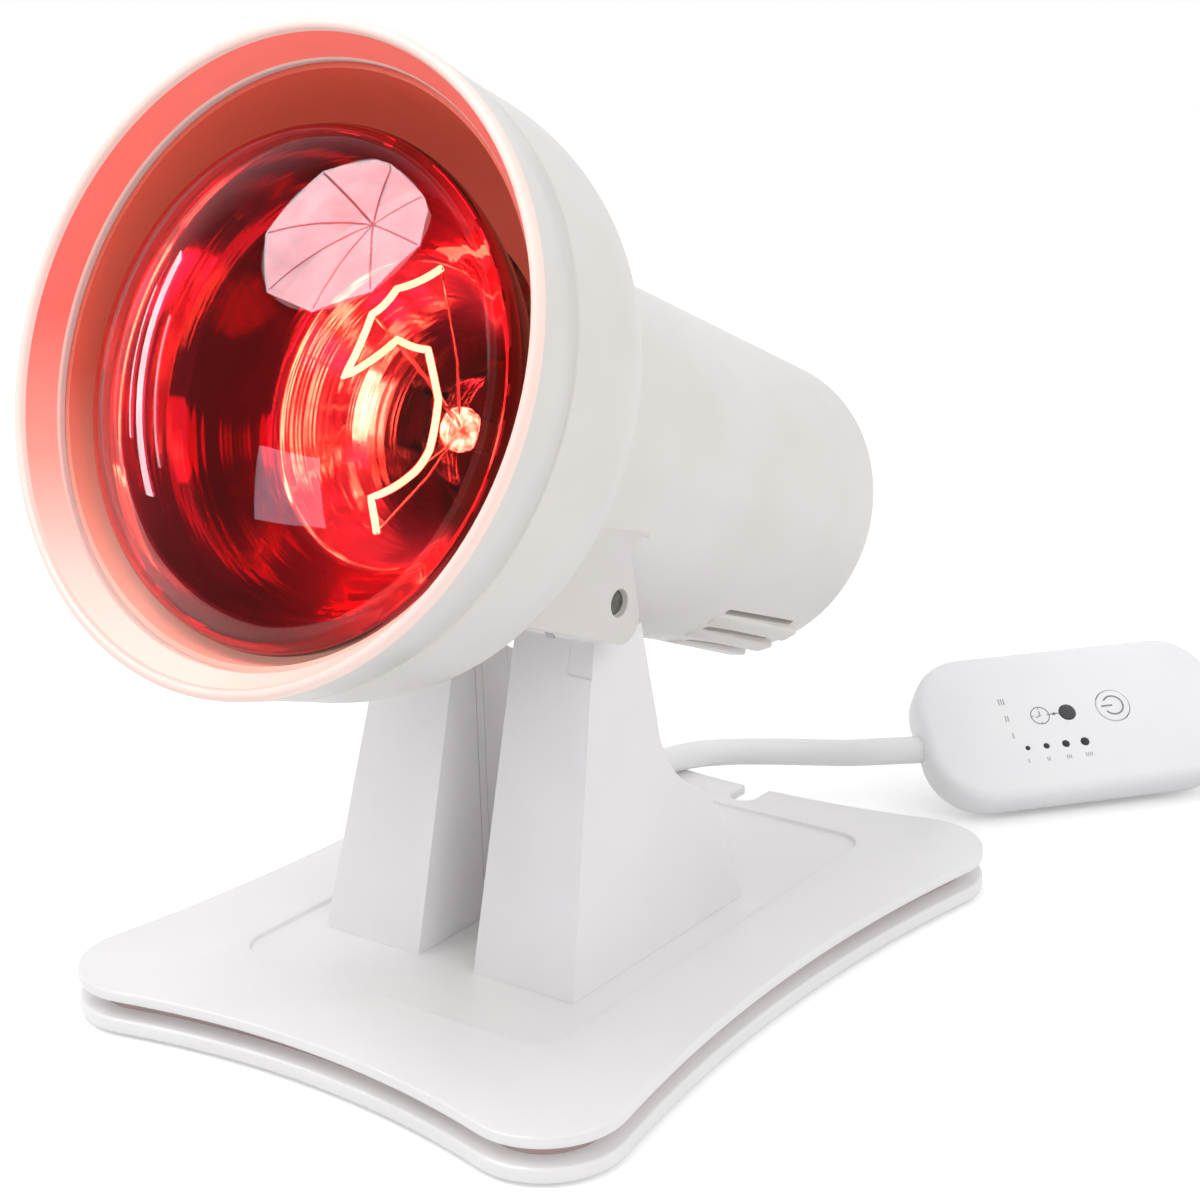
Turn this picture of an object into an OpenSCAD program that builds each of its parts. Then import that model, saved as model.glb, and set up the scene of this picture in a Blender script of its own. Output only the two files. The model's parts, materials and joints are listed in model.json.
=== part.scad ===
// Infrared heat therapy lamp: a reflector bulb in a bell hood that tilts on a two-legged stand,
// a timer control in its lead, and the mains lead wound up for storage.
// Millimetres. The origin is the middle of the base's underside, +Z is up, the hood looks
// towards -Y and +X is the lamp's right-hand side.

/* [Base] */
// Width of the base
base_w = 132; // [124:1:150]
// Depth of the base
base_d = 166; // [160:1:190]
// Radius of the base's corners
base_corner_r = 16; // [12:1:20]
// How far the base's sides curve in
base_sag = 6.2; // [4:0.2:8]
// Thickness of the bottom tray's floor
tray_t = 3.2; // [2.4:0.1:4]
// Height of the groove between tray and cover
groove_h = 3.8; // [3.4:0.1:5]
// Depth of the groove from the plates' edge
groove_depth = 5; // [3:0.5:8]
// Thickness of the cover plate
cover_t = 2.4; // [2:0.1:3]
// Wall round the tray
tray_wall = 2.5; // [2:0.1:4]
// Half the width of the sunk panel on top
panel_half_w = 40; // [38:0.5:42]
// Front end of the sunk panel
panel_front = 54; // [52:0.5:58]
// Rear end of the sunk panel
panel_rear = 64.5; // [58:0.5:66]
// Depth of the sunk panel
panel_sink = 1; // [0.6:0.1:1.2]
// Corner radius of the sunk panel
panel_r = 6.5; // [4:0.5:9]
// Width of the notch in the rear edge
notch_w = 6.5; // [5:0.5:8]
// Front end of the notch
notch_y = 68; // [66.5:0.5:72]
// Thickness of the steel ballast plate
ballast_t = 3; // [2:0.1:3.2]
// Radius of a rubber foot
foot_r = 6; // [5:0.5:8]
// How far the feet stand out of the tray
foot_out = 0.6; // [0.5:0.1:1]
// How far the feet sit in the tray
foot_in = 1; // [0.8:0.1:1.4]

/* [Stand legs] */
// Gap between the two legs
leg_gap = 14.4; // [13:0.2:16]
// Outer face of a leg at its foot, from the middle
leg_foot_x = 32.3; // [30:0.1:34]
// Outer face of a leg at its shoulder, from the middle
leg_top_x = 26.3; // [25.5:0.1:27]
// Front of a leg at its foot
leg_foot_front = -35.2; // [-38:0.1:-33]
// Front of a leg at its shoulder
leg_top_front = -17.6; // [-18.5:0.1:-17]
// Rear of a leg at its foot
leg_foot_rear = 25; // [23:0.1:27]
// Rear of a leg at the top of its heel
heel_y = 19.8; // [18:0.1:21]
// Height of the heel
heel_z = 29.8; // [28:0.1:31]
// Height of a leg's shoulder
shoulder_z = 77; // [76:0.1:77.5]
// Rear of a leg at its shoulder
shoulder_y = -1.4; // [-2:0.1:-1]
// Radius of the curve behind a leg
calf_r = 20; // [19:0.1:21]
// Wall of a leg
leg_wall = 2; // [1.6:0.1:2.4]
// Thickness of a leg's inner cover
leg_cover_t = 1.2; // [1:0.1:1.5]
// Thickness of a steel support arm
arm_t = 2; // [1.5:0.1:2.4]

/* [Tilt hinge] */
// Depth of the hinge pin from the middle, front is minus
pin_y = -18.7; // [-19.5:0.1:-18]
// Height of the hinge pin
pin_z = 86.9; // [86:0.1:88]
// Radius of the hinge pin
pin_r = 2.5; // [2:0.1:2.8]
// Running clearance of the pin in the hinge bracket
pin_clear = 0.06; // [0.02:0.01:0.1]
// Radius of a leg's knuckle
knuckle_r = 5.5; // [5:0.1:5.7]
// Tilt of the head at rest, degrees above level
head_tilt = 22.2; // [20:0.1:24]
// How far the head tilts up from rest
tilt_up = 13; // [10:1:13]
// Outer face of the hinge bracket's cheeks, from the middle
cheek_x = 33.7; // [33:0.1:34]
// Thickness of a cheek
cheek_t = 3.2; // [2.4:0.1:3.4]
// Height of the bulb's axis above the pin
axis_h = 28.9; // [28.6:0.1:30]

/* [Head] */
// Outer radius of the rim
rim_r = 60; // [59:0.1:61]
// Distance of the rim from the pin, along the axis
rim_s = 74.4; // [74:0.1:76]
// Inner radius of the rim's lip
lip_r = 57.65; // [57:0.05:58]
// Inner radius of the step behind the lip
step_r = 54.3; // [54:0.1:55]
// Distance of that step from the pin, along the axis
step_s = 68.7; // [68:0.1:69]
// Joint line between rim and hood
joint_s = 62.5; // [61:0.1:64]
// Outer radius at that joint line
joint_r = 58.7; // [58:0.1:59]
// Outer radius where the hood's shoulder ends
hood_r = 58; // [57.5:0.1:58.3]
// Radius of the hood's sharp rear edge
hood_rear_r = 51.4; // [50:0.1:53]
// Distance of the hood's rear from the pin
hood_rear_s = 34.75; // [34:0.05:36]
// Length of the hood's rounded shoulder
hood_shoulder = 17; // [14:0.5:20]
// Outer radius of the lamp body at the hood
body_front_r = 38.1; // [37.8:0.1:38.4]
// Outer radius of the lamp body at its rear
body_rear_r = 33.4; // [33:0.1:34]
// Distance of the body's rear end behind the pin
body_rear_s = 94; // [92:0.5:96]
// Radius of the body's rear edge
body_edge_r = 4; // [3:0.5:6]
// Wall of hood and body
shell_t = 2; // [1.6:0.1:2.2]
// Thickness of the heat shield
liner_t = 1; // [0.8:0.1:1.2]
// Width of a vent rib
vent_w = 4.6; // [4:0.1:5.5]
// How far a vent rib stands out
vent_out = 1.3; // [1:0.1:2]
// Width of the slot beside a vent rib
vent_slot = 1.7; // [1.2:0.1:2.2]

/* [Bulb] */
// Largest radius of the bulb
bulb_r = 47.5; // [46:0.1:47.6]
// Distance of the bulb's widest ring from the pin
bulb_wide_s = 63; // [62:0.5:64]
// Radius where the clear dome starts
dome_r = 44.5; // [43:0.1:45]
// Distance of the dome's edge from the pin
dome_s = 69; // [68.5:0.1:69.5]
// Distance of the dome's top from the pin
apex_s = 82.5; // [81:0.1:84]
// Radius of the bulb's neck
neck_r = 18.2; // [17:0.1:18.5]
// Thickness of the glass
glass_t = 1.2; // [1:0.1:1.4]
// Radius of the bulb's screw cap
cap_r = 13.1; // [12.8:0.05:13.2]
// Outer radius of the lamp holder
holder_r = 20; // [19:0.1:20]
// How far the bulb hangs down in its holder, degrees
bulb_sag = 1.7; // [0:0.1:2]

/* [Timer control] */
// Length of the control
hand_l = 78; // [74:1:82]
// Width of the control
hand_w = 39; // [37:0.5:41]
// Thickness of the control
hand_t = 11; // [10.5:0.1:12]
// Corner radius of the control
hand_r = 14; // [12:0.5:15]
// Wall of the control's shells
hand_wall = 1.6; // [1.4:0.1:2]
// How far the control's face leans back
hand_tilt = 40; // [38:0.5:42]
// Turn of the control on the table
hand_turn = 50; // [48:0.5:52]
// Radius of the power button
power_r = 4.2; // [3.8:0.1:4.4]
// Radius of the timer button
timer_r = 2; // [1.8:0.1:2.2]
// How far a button can be pressed
button_travel = 0.6; // [0.4:0.1:0.8]

/* [Leads] */
// Diameter of the leads
lead_d = 6.5; // [6.3:0.1:6.5]
// Turns in each layer of the coil
coil_turns = 3.6; // [3.6:0.05:3.65]
// Inner radius of the coil, at the middle of the lead
coil_in_r = 26; // [26:0.1:26.5]
// Step from turn to turn and from layer to layer
coil_step = 6.95; // [6.95:0.01:7]

/* [Hidden] */
fine = 96;
very_fine = 720;
eps = 0.01;
fit = 0.15;
plastic = "#f1edec";
plastic_head = "#efebe7";
glow = "#ff6a5a";
steel = "silver";

tray_z = foot_out;
groove_z = tray_z + tray_t;
cover_z = groove_z + groove_h;
top_z = cover_z + cover_t;
panel_z = top_z - panel_sink;
inner_x = leg_gap / 2;
cone_slope = (body_front_r - body_rear_r) / (hood_rear_s + body_rear_s);
function cone_r(s) = body_front_r - cone_slope * (hood_rear_s - s);
function arc(c, r, a0, a1, n) = [for (i = [0:n]) let (a = a0 + (a1 - a0) * i / n)
    [c[0] + r * cos(a), c[1] + r * sin(a)]];

// ---- placing ----
// The head's own frame: origin on the pin, -Y forwards along the bulb's axis
module head(extra = 0) {
    translate([0, pin_y, pin_z]) rotate([-head_tilt - extra, 0, 0]) children();
}
// Turned shapes on the bulb's axis: profiles are [radius, distance before the pin]
module turned(points) {
    head() translate([0, 0, axis_h]) rotate([90, 0, 0]) rotate_extrude($fn = fine) polygon(points);
}
// A side profile [depth, height] drawn out along X from x0 to x1
module side(x0, x1) {
    translate([x0, 0, 0]) rotate([90, 0, 90]) linear_extrude(x1 - x0) children();
}
// A side profile [distance before the pin, height over the pin] drawn out across the head
module across(x0, x1) {
    translate([x1, 0, 0]) rotate([90, 0, -90]) linear_extrude(x1 - x0) children();
}
module both_sides() {
    children();
    mirror([1, 0, 0]) children();
}
module rod_x(r, x0, x1) {
    translate([x0, 0, 0]) rotate([0, 90, 0]) cylinder(r = r, h = x1 - x0, $fn = fine);
}

// ---- base ----
corner_x = base_w / 2 - base_corner_r;
corner_y = base_d / 2 - base_corner_r;
function side_r(half) = (half * half + base_sag * base_sag) / (2 * base_sag) - base_corner_r;
side_r_x = side_r(corner_y);
side_r_y = side_r(corner_x);
side_cx = base_w / 2 - base_sag + side_r_x;
side_cy = base_d / 2 - base_sag + side_r_y;

turn_x = atan2(corner_y, side_cx - corner_x);
turn_y = atan2(corner_x, side_cy - corner_y);
side_steps = 10;
corner_steps = 14;
// A quarter of the outline, from the +X axis round to the +Y axis
function base_quarter(inset) = concat(
    arc([side_cx, 0], side_r_x + inset, 180, 180 - turn_x, side_steps),
    inner(arc([corner_x, corner_y], base_corner_r - inset, -turn_x, 90 + turn_y, corner_steps)),
    arc([0, side_cy], side_r_y + inset, turn_y - 90, -90, side_steps));
function inner(points) = [for (i = [1:len(points) - 2]) points[i]];
function reversed(points) = [for (i = [len(points) - 1:-1:0]) points[i]];
function flipped(points, x, y) = [for (p = points) [x * p[0], y * p[1]]];
module base_outline(inset) {
    quarter = base_quarter(inset);
    across_x = reversed(inner(quarter));
    polygon(concat(quarter, flipped(across_x, -1, 1), flipped(quarter, -1, -1), flipped(across_x, 1, -1)));
}
module rounded(w, d, r) {
    union() {
        square([w - 2 * r, d], center = true);
        square([w, d - 2 * r], center = true);
        for (x = [-1, 1], y = [-1, 1])
            translate([x * (w / 2 - r), y * (d / 2 - r)]) circle(r, $fn = fine);
    }
}
module notch(margin) {
    w = notch_w + 2 * margin;
    translate([notch_w / 2 - w / 2, notch_y - margin, -1]) linear_extrude(top_z + 2)
        union() {
            translate([0, w / 2]) square([w, base_d]);
            translate([w / 2, w / 2]) circle(w / 2, $fn = fine);
        }
}
foot_x = base_w / 2 - base_corner_r - 1;
foot_y = base_d / 2 - base_corner_r - 1;
screw_r = 1.5;
screw_head_r = 3;
screw_head_h = 1.8;
screw_gap = 0.2;
base_screw_x = 50;
base_screw_y = 50;
leg_screw_x = 20;
leg_screw_ys = [-26, 14];
module base_screw_places() {
    for (x = [-1, 1], y = [-1, 1]) translate([x * base_screw_x, y * base_screw_y, 0]) children();
}
module leg_screw_places() {
    for (x = [-1, 1], y = leg_screw_ys) translate([x * leg_screw_x, y, 0]) children();
}
arm_x = 15;
arm_foot_front = -21;
arm_foot_rear = 6;

module base_cover() color(plastic) difference() {
    translate([0, 0, cover_z]) linear_extrude(cover_t) base_outline(0);
    translate([0, (panel_rear - panel_front) / 2, panel_z])
        linear_extrude(cover_t) rounded(2 * panel_half_w, panel_rear + panel_front, panel_r);
    notch(0);
    leg_screw_places() translate([0, 0, cover_z - 1])
        cylinder(r = screw_r + screw_gap, h = cover_t + 2, $fn = fine);
    for (k = [-1, 1])
        translate([k * (arm_x + arm_t / 2), (arm_foot_front + arm_foot_rear) / 2, cover_z])
            cube([arm_t + 2 * fit, arm_foot_rear - arm_foot_front + 2 * fit, 3 * cover_t], center = true);
}

boss_r = 4.5;
foot_fit = 0.05;
// From the notch's front end to the groove in the rear edge
notch_run = base_d / 2 - base_sag - groove_depth - notch_y;
module base_tray() color(plastic) difference() {
    union() {
        translate([0, 0, tray_z]) linear_extrude(tray_t) base_outline(0);
        translate([0, 0, groove_z]) linear_extrude(groove_h) difference() {
            base_outline(groove_depth);
            base_outline(groove_depth + tray_wall);
        }
        translate([-tray_wall, notch_y - tray_wall, groove_z])
            cube([notch_w + 2 * tray_wall, tray_wall + notch_run, groove_h]);
        base_screw_places() translate([0, 0, groove_z]) cylinder(r = boss_r, h = groove_h, $fn = fine);
    }
    notch(0);
    for (x = [-1, 1], y = [-1, 1])
        translate([x * foot_x, y * foot_y, 0])
            cylinder(r = foot_r + foot_fit, h = tray_z + foot_in, $fn = fine);
    base_screw_places() {
        cylinder(r = screw_r, h = top_z, $fn = fine);
        cylinder(r = screw_head_r + screw_gap, h = tray_z + screw_head_h, $fn = fine);
    }
    leg_screw_places() {
        cylinder(r = screw_r + screw_gap, h = top_z, $fn = fine);
        cylinder(r = screw_head_r + screw_gap, h = tray_z + screw_head_h, $fn = fine);
    }
}

ballast_w = 84;
ballast_d = 104;
ballast_r = 8;
module ballast_plate() color(steel) difference() {
    translate([0, 0, groove_z]) linear_extrude(ballast_t) rounded(ballast_w, ballast_d, ballast_r);
    leg_screw_places() cylinder(r = screw_r + screw_gap, h = top_z, $fn = fine);
}

module rubber_feet() color("#55524f") for (x = [-1, 1], y = [-1, 1])
    translate([x * foot_x, y * foot_y, 0]) cylinder(r = foot_r, h = foot_out + foot_in, $fn = fine);

// The base's corner screws end in the cover, the leg screws in the legs' floors
leg_floor_t = 3;
module screw(z, reach) {
    translate([0, 0, z]) {
        cylinder(r = screw_head_r, h = screw_head_h, $fn = fine);
        cylinder(r = screw_r, h = reach, $fn = fine);
    }
}
module base_screws() color(steel) {
    base_screw_places() screw(tray_z, cover_z - tray_z);
    leg_screw_places() screw(tray_z, panel_z + leg_floor_t - tray_z);
}

// ---- legs ----
skim = 0.1;
// Where the neck runs into the knuckle's round, from the pin
knuckle_rear = [knuckle_r - skim, -1.4];
knuckle_front = [-knuckle_r + 2 * skim, -1.5];
neck_rear_y = -11;
neck_drop = 1.5;
neck_root = 4;
calf_in = 2.4;
calf_z = 56;
calf_c = [shoulder_y + calf_in + calf_r, calf_z];
calf_low = 250;
heel_share = [0.8, 0.4];
function inset_x(z, t) = leg_foot_x - (leg_foot_x - leg_top_x) * (z - panel_z) / (shoulder_z - panel_z) - t;
// Side profile of a leg, drawn in by t all round and closed above at z_top
module leg_side(t) {
    difference() {
        polygon([[leg_foot_front + t, panel_z], [leg_foot_rear - t, panel_z],
            [heel_y - heel_share[0] * t, heel_z - heel_share[1] * t],
            calf_c + (calf_r + t) * [cos(calf_low), sin(calf_low)],
            [calf_c[0] - calf_r - t, calf_c[1]], [shoulder_y - t, shoulder_z],
            [neck_rear_y - t, shoulder_z - eps], [leg_top_front + t, shoulder_z]]);
        translate(calf_c) circle(calf_r + t, $fn = very_fine);
    }
}
module leg_neck() {
    polygon([[leg_top_front, shoulder_z], [neck_rear_y, shoulder_z - neck_drop],
        [pin_y, pin_z] + knuckle_rear, [pin_y, pin_z], [pin_y, pin_z] + knuckle_front]);
    polygon([[leg_top_front, shoulder_z], [leg_top_front, shoulder_z - neck_root],
        [shoulder_y - skim, shoulder_z - neck_root], [shoulder_y, shoulder_z]]);
    translate([pin_y, pin_z]) circle(knuckle_r, $fn = fine);
}
module leg_front_view(t, z_low, z_top) {
    polygon([[inner_x + t, z_low], [inset_x(z_low, t), z_low],
        [inset_x(z_top, t), z_top], [inner_x + t, z_top]]);
}
module leg_block(t, z_low, z_top) {
    rotate([90, 0, 0]) translate([0, 0, -base_d / 2])
        linear_extrude(base_d) leg_front_view(t, z_low, z_top);
}
scoop_gap = 1;
pocket_gap = 0.5;
pocket_front = 9.5;
pocket_rear = -14;
knuckle_x = inset_x(pin_z + knuckle_r, 0);
cavity_top = 71;
seam_y = -11;
window_low = 14;
window_high = 67;
window_margin = 2.6;
// The inner cover's outline on the leg's inner face
module window_outline(t) {
    intersection() {
        leg_side(window_margin + t);
        translate([seam_y + t, window_low + t]) square([base_d, window_high - window_low - 2 * t]);
    }
}
arm_eye_r = 4;
arm_waist = [-5, 60];
arm_neck_rear = [-12.5, 73];
arm_neck_front = [-16, 73];
// Side outline of a steel arm, m larger all round
module arm_side(m) {
    polygon([[arm_foot_front - m, groove_z + ballast_t], [arm_foot_rear + m, groove_z + ballast_t],
        arm_waist + [m, 0], arm_neck_rear + [m, 0], [pin_y + arm_eye_r - skim + m, pin_z],
        [pin_y - arm_eye_r + skim - m, pin_z], arm_neck_front - [m, 0]]);
    translate([pin_y, pin_z]) circle(arm_eye_r + m, $fn = fine);
}
module leg_shell(lead_hole) color(plastic) difference() {
    union() {
        intersection() {
            side(inner_x, leg_foot_x) leg_side(0);
            leg_block(0, panel_z, shoulder_z);
        }
        intersection() {
            side(inner_x, leg_foot_x) leg_neck();
            leg_block(0, cavity_top - 1, pin_z + knuckle_r + 1);
        }
        translate([0, pin_y, pin_z]) rod_x(knuckle_r, knuckle_x - 4, leg_top_x);
    }
    intersection() {
        side(inner_x + leg_wall, leg_foot_x) leg_side(leg_wall);
        leg_block(leg_wall, panel_z + leg_floor_t, cavity_top);
    }
    side(inner_x - 1, inner_x + leg_cover_t) window_outline(0);
    side(inner_x - 1, inner_x + leg_wall + 1) window_outline(2);
    side(arm_x - fit, arm_x + arm_t + fit) arm_side(fit);
    translate([0, pin_y, pin_z]) rod_x(pin_r, 0, 2 * leg_foot_x);
    head(tilt_up) difference() {
        translate([0, 0, axis_h]) rotate([90, 0, 0]) translate([0, 0, -body_rear_s])
            cylinder(r1 = body_rear_r + scoop_gap, r2 = cone_r(-knuckle_r) + scoop_gap,
                h = body_rear_s - knuckle_r, $fn = very_fine);
        across(-cheek_x, cheek_x) pocket_outline(-pocket_gap);
    }
    for (y = leg_screw_ys)
        translate([leg_screw_x, y, panel_z - 1]) cylinder(r = screw_r, h = leg_floor_t + 1 + eps, $fn = fine);
    if (lead_hole) relief_hole();
}
module leg_cover() color(plastic) side(inner_x, inner_x + leg_cover_t - 0.02) window_outline(fit);
module support_arm() color(steel) difference() {
    side(arm_x, arm_x + arm_t) arm_side(0);
    translate([0, pin_y, pin_z]) rod_x(pin_r, 0, leg_foot_x);
}
module leg_shell_right() leg_shell(false);
module leg_shell_left() mirror([1, 0, 0]) leg_shell(true);
module leg_cover_right() leg_cover();
module leg_cover_left() mirror([1, 0, 0]) leg_cover();
module support_arm_right() support_arm();
module support_arm_left() mirror([1, 0, 0]) support_arm();

// ---- hinge ----
pin_end = cheek_x - 0.8;
disc_gap = 0.15;
module hinge_pin() color("#9a9690") translate([0, pin_y, pin_z]) rod_x(pin_r, -pin_end, pin_end);
module friction_discs() color(steel) both_sides() translate([0, pin_y, pin_z]) difference() {
    rod_x(knuckle_r - 0.5, leg_top_x, cheek_x - cheek_t - disc_gap);
    rod_x(pin_r, 0, cheek_x);
}
module spacer_sleeve() color(steel) translate([0, pin_y, pin_z]) difference() {
    rod_x(4, -inner_x, inner_x);
    rod_x(pin_r, -inner_x - 1, inner_x + 1);
}
cheek_low = -7.8;
cheek_high = 15.5;
hook_c = [-4.8, 9.4];
hook_r = 4.2;
hook_lead = 0.8;
cheek_heel_c = [-2.6, -2.8];
cheek_heel_r = 5;
flange_t = 2;
module cheek_outline() polygon(concat(
    [[hood_rear_s, cheek_low], [hood_rear_s, cheek_high], [hook_c[0] - hook_lead, cheek_high]],
    arc(hook_c, hook_r, 100, 0, 8), arc(cheek_heel_c, cheek_heel_r, 150, 270, 10)));
module body_cone(more) {
    translate([0, 0, axis_h]) rotate([90, 0, 0]) translate([0, 0, -body_rear_s])
        cylinder(r1 = body_rear_r + more, r2 = body_front_r + more,
            h = body_rear_s + hood_rear_s, $fn = very_fine);
}
pin_recess_r = 3.1;
pin_recess = 1.2;
// A cheek is flat outside, open to the legs inside, and fits round the lamp body
module hinge_cheek() color(plastic_head) head() difference() {
    across(0, cheek_x) cheek_outline();
    body_cone(0);
    across(-1, cheek_x - cheek_t) {
        translate([2 * pocket_rear, cheek_low + flange_t])
            square([hood_rear_s - 3 * pocket_rear, hood_rear_s]);
        translate([2 * pocket_rear, cheek_low - 1])
            square([pocket_front - 2 * pocket_rear, cheek_high]);
    }
    rod_x(pin_r + pin_clear, 0, cheek_x + 1);
    rod_x(pin_recess_r, cheek_x - pin_recess, cheek_x + 1);
}
module hinge_cheek_right() hinge_cheek();
module hinge_cheek_left() mirror([1, 0, 0]) hinge_cheek();

// ---- hood and body ----
rim_edge_r = 1.1;
rim_draft = 0.1;
step_l = 1.2;
module front_rim() color(plastic_head) turned(concat(
    [[joint_r, joint_s], [rim_r - rim_draft, rim_s - 0.8]],
    arc([rim_r - rim_edge_r - rim_draft / 2, rim_s - rim_draft], rim_edge_r, 10, 150, 8),
    [[lip_r, rim_s - 2 * rim_draft], [step_r, step_s], [step_r, step_s - step_l],
    [joint_r - shell_t, joint_s + shell_t], [joint_r - shell_t, joint_s]]));
function shoulder(t, n) = [for (i = [0:n]) let (a = 90 * i / n)
    [hood_rear_r + (hood_r - hood_rear_r) * sin(a) - t, hood_rear_s + hood_shoulder * (1 - cos(a))]];
module hood_shell() color(plastic_head) turned(concat(
    [[body_front_r - shell_t, hood_rear_s]], shoulder(0, 12),
    [[joint_r, joint_s], [joint_r - shell_t, joint_s]],
    [for (i = [12:-1:3]) shoulder(shell_t, 12)[i]],
    [[hood_rear_r - shell_t - 0.6, hood_rear_s + shell_t], [body_front_r - shell_t, hood_rear_s + shell_t]]));
liner_gap = 0.1;
liner_lip = 0.3;
liner_tail = 5;
liner_path = [[step_r - liner_lip, step_s - step_l - 2 * liner_gap],
    [53.2, 60], [50.8, 50], [46.6, 42.5], [41, 38.2],
    [body_front_r - shell_t - liner_gap, hood_rear_s + shell_t + 2 * liner_gap]];
liner_tail_r = cone_r(hood_rear_s - liner_tail) - shell_t - liner_gap;
module heat_shield() color(glow) turned(concat(liner_path,
    [[liner_tail_r, hood_rear_s - liner_tail], [liner_tail_r - liner_t, hood_rear_s - liner_tail]],
    [for (i = [5:-1:0]) [liner_path[i][0] - liner_t, liner_path[i][1] + (i > 2 ? 0.6 * liner_t : 0)]]));

rear_in = body_rear_s - shell_t;
module body_outer() turned_local(concat([[0, -body_rear_s], [0, hood_rear_s], [body_front_r, hood_rear_s]],
    [[cone_r(-body_rear_s + body_edge_r), -body_rear_s + body_edge_r]],
    arc([body_rear_r - body_edge_r + 0.1, -body_rear_s + body_edge_r], body_edge_r, -10, -90, 6)));
edge_in_r = body_edge_r - 1;
module body_inner() turned_local(concat([[0, -rear_in], [0, hood_rear_s + 1],
    [body_front_r - shell_t, hood_rear_s + 1], [body_front_r - shell_t, hood_rear_s]],
    [[cone_r(-rear_in + body_edge_r) - shell_t, -rear_in + edge_in_r]],
    arc([body_rear_r - shell_t - edge_in_r, -rear_in + edge_in_r], edge_in_r, -10, -90, 6)));
module turned_local(points) {
    translate([0, 0, axis_h]) rotate([90, 0, 0]) rotate_extrude($fn = fine) polygon(points);
}
pocket_r = 6.3;
pocket_waist = [6, 2];
pocket_knee = -5;
pocket_low = -16;
vault_t = 1;
// Side outline of the pocket that takes the legs' knuckles, m larger all round
module pocket_outline(m) {
    circle(pocket_r + m, $fn = fine);
    polygon([[-pocket_waist[0] - m, pocket_waist[1] + m / 2], [pocket_rear - m, pocket_knee + m],
        [pocket_rear - m, pocket_low], [pocket_front + m, pocket_low],
        [pocket_front + m, pocket_knee + m], [pocket_waist[0] + m, pocket_waist[1] + m / 2]]);
}
// The vents on one side: angle from the lowest line, front end and rear end
vents = [[37, -54, -88], [25, -56, -89], [10.5, -63, -92]];
slot_turn = 5.6;
slot_back = 1;
slot_short = 4;
post_x = 22;
post_r = 3.6;
post_root = 0.5;
bracket_s = -58.5;
screw_bore = 10;
module on_axis(angle, s) {
    translate([0, 0, axis_h]) rotate([0, -angle, 0]) translate([0, -s, 0]) children();
}
// A bar along the body's wall with one rounded end, its outer face at radius r_out
module vent_bar(angle, s0, s1, w, r_in, r_out) {
    on_axis(angle, s0) translate([0, w / 2, -r_out]) {
        cylinder(r = w / 2, h = r_out - r_in, $fn = fine);
        translate([-w / 2, 0, 0]) cube([w, s0 - s1 - w / 2, r_out - r_in]);
    }
}
module body_shell() color(plastic_head) head() difference() {
    union() {
        difference() {
            body_outer();
            body_inner();
        }
        intersection() {
            body_outer();
            across(-cheek_x + cheek_t, cheek_x - cheek_t) difference() {
                pocket_outline(vault_t);
                pocket_outline(0);
            }
        }
        for (k = [-1, 1]) translate([k * post_x, rear_in, axis_h]) rotate([90, 0, 0])
            translate([0, 0, -post_root])
                cylinder(r = post_r, h = rear_in + bracket_s + post_root, $fn = fine);
        both_sides() for (v = vents)
            vent_bar(v[0], v[1], v[2], vent_w, body_rear_r - shell_t + 1, cone_r(v[1]) + vent_out - 0.6);
    }
    across(-cheek_x + cheek_t, cheek_x - cheek_t) pocket_outline(0);
    both_sides() for (v = vents)
        vent_bar(v[0] + slot_turn, v[1] - slot_back, v[2] + slot_short, vent_slot,
            body_rear_r - 3 * shell_t, body_front_r + shell_t);
    for (k = [-1, 1]) translate([k * post_x, -bracket_s + screw_bore - 1, axis_h]) rotate([90, 0, 0])
        cylinder(r = screw_r, h = screw_bore, $fn = fine);
}

// ---- lamp holder ----
bracket_t = 1.5;
bracket_h = 18;
bracket_r = post_x + post_r + bracket_t;
bracket_screw_l = 8;
holder_s = bracket_s + bracket_t;
holder_l = 31;
holder_floor = 4;
thread_r = 14;
thread_gap = 0.3;
module head_rod(r, s0, s1) {
    translate([0, -s0, axis_h]) rotate([90, 0, 0]) cylinder(r = r, h = s1 - s0, $fn = fine);
}
module holder_bracket() color(steel) head() difference() {
    intersection() {
        head_rod(bracket_r, bracket_s, holder_s);
        translate([0, -bracket_s, axis_h]) cube([3 * bracket_r, 4 * bracket_t, bracket_h], center = true);
    }
    for (k = [-1, 1]) translate([k * post_x, 0, 0])
        head_rod(screw_r + screw_gap, bracket_s - 1, holder_s + 1);
}
module holder_screws() color(steel) head() for (k = [-1, 1]) translate([k * post_x, 0, 0]) {
    head_rod(screw_r, bracket_s - bracket_screw_l, holder_s);
    head_rod(bracket_head_r, holder_s, holder_s + bracket_head_h);
}
bracket_head_r = 2.4;
bracket_head_h = 1.6;
holder_waist_r = holder_r - 2;
holder_top_r = holder_r - 0.8;
holder_waist_l = 10;
holder_flare = 2;
holder_edge = 1;
floor_s = holder_s + holder_floor;
mouth_s = holder_s + holder_l;
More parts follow.
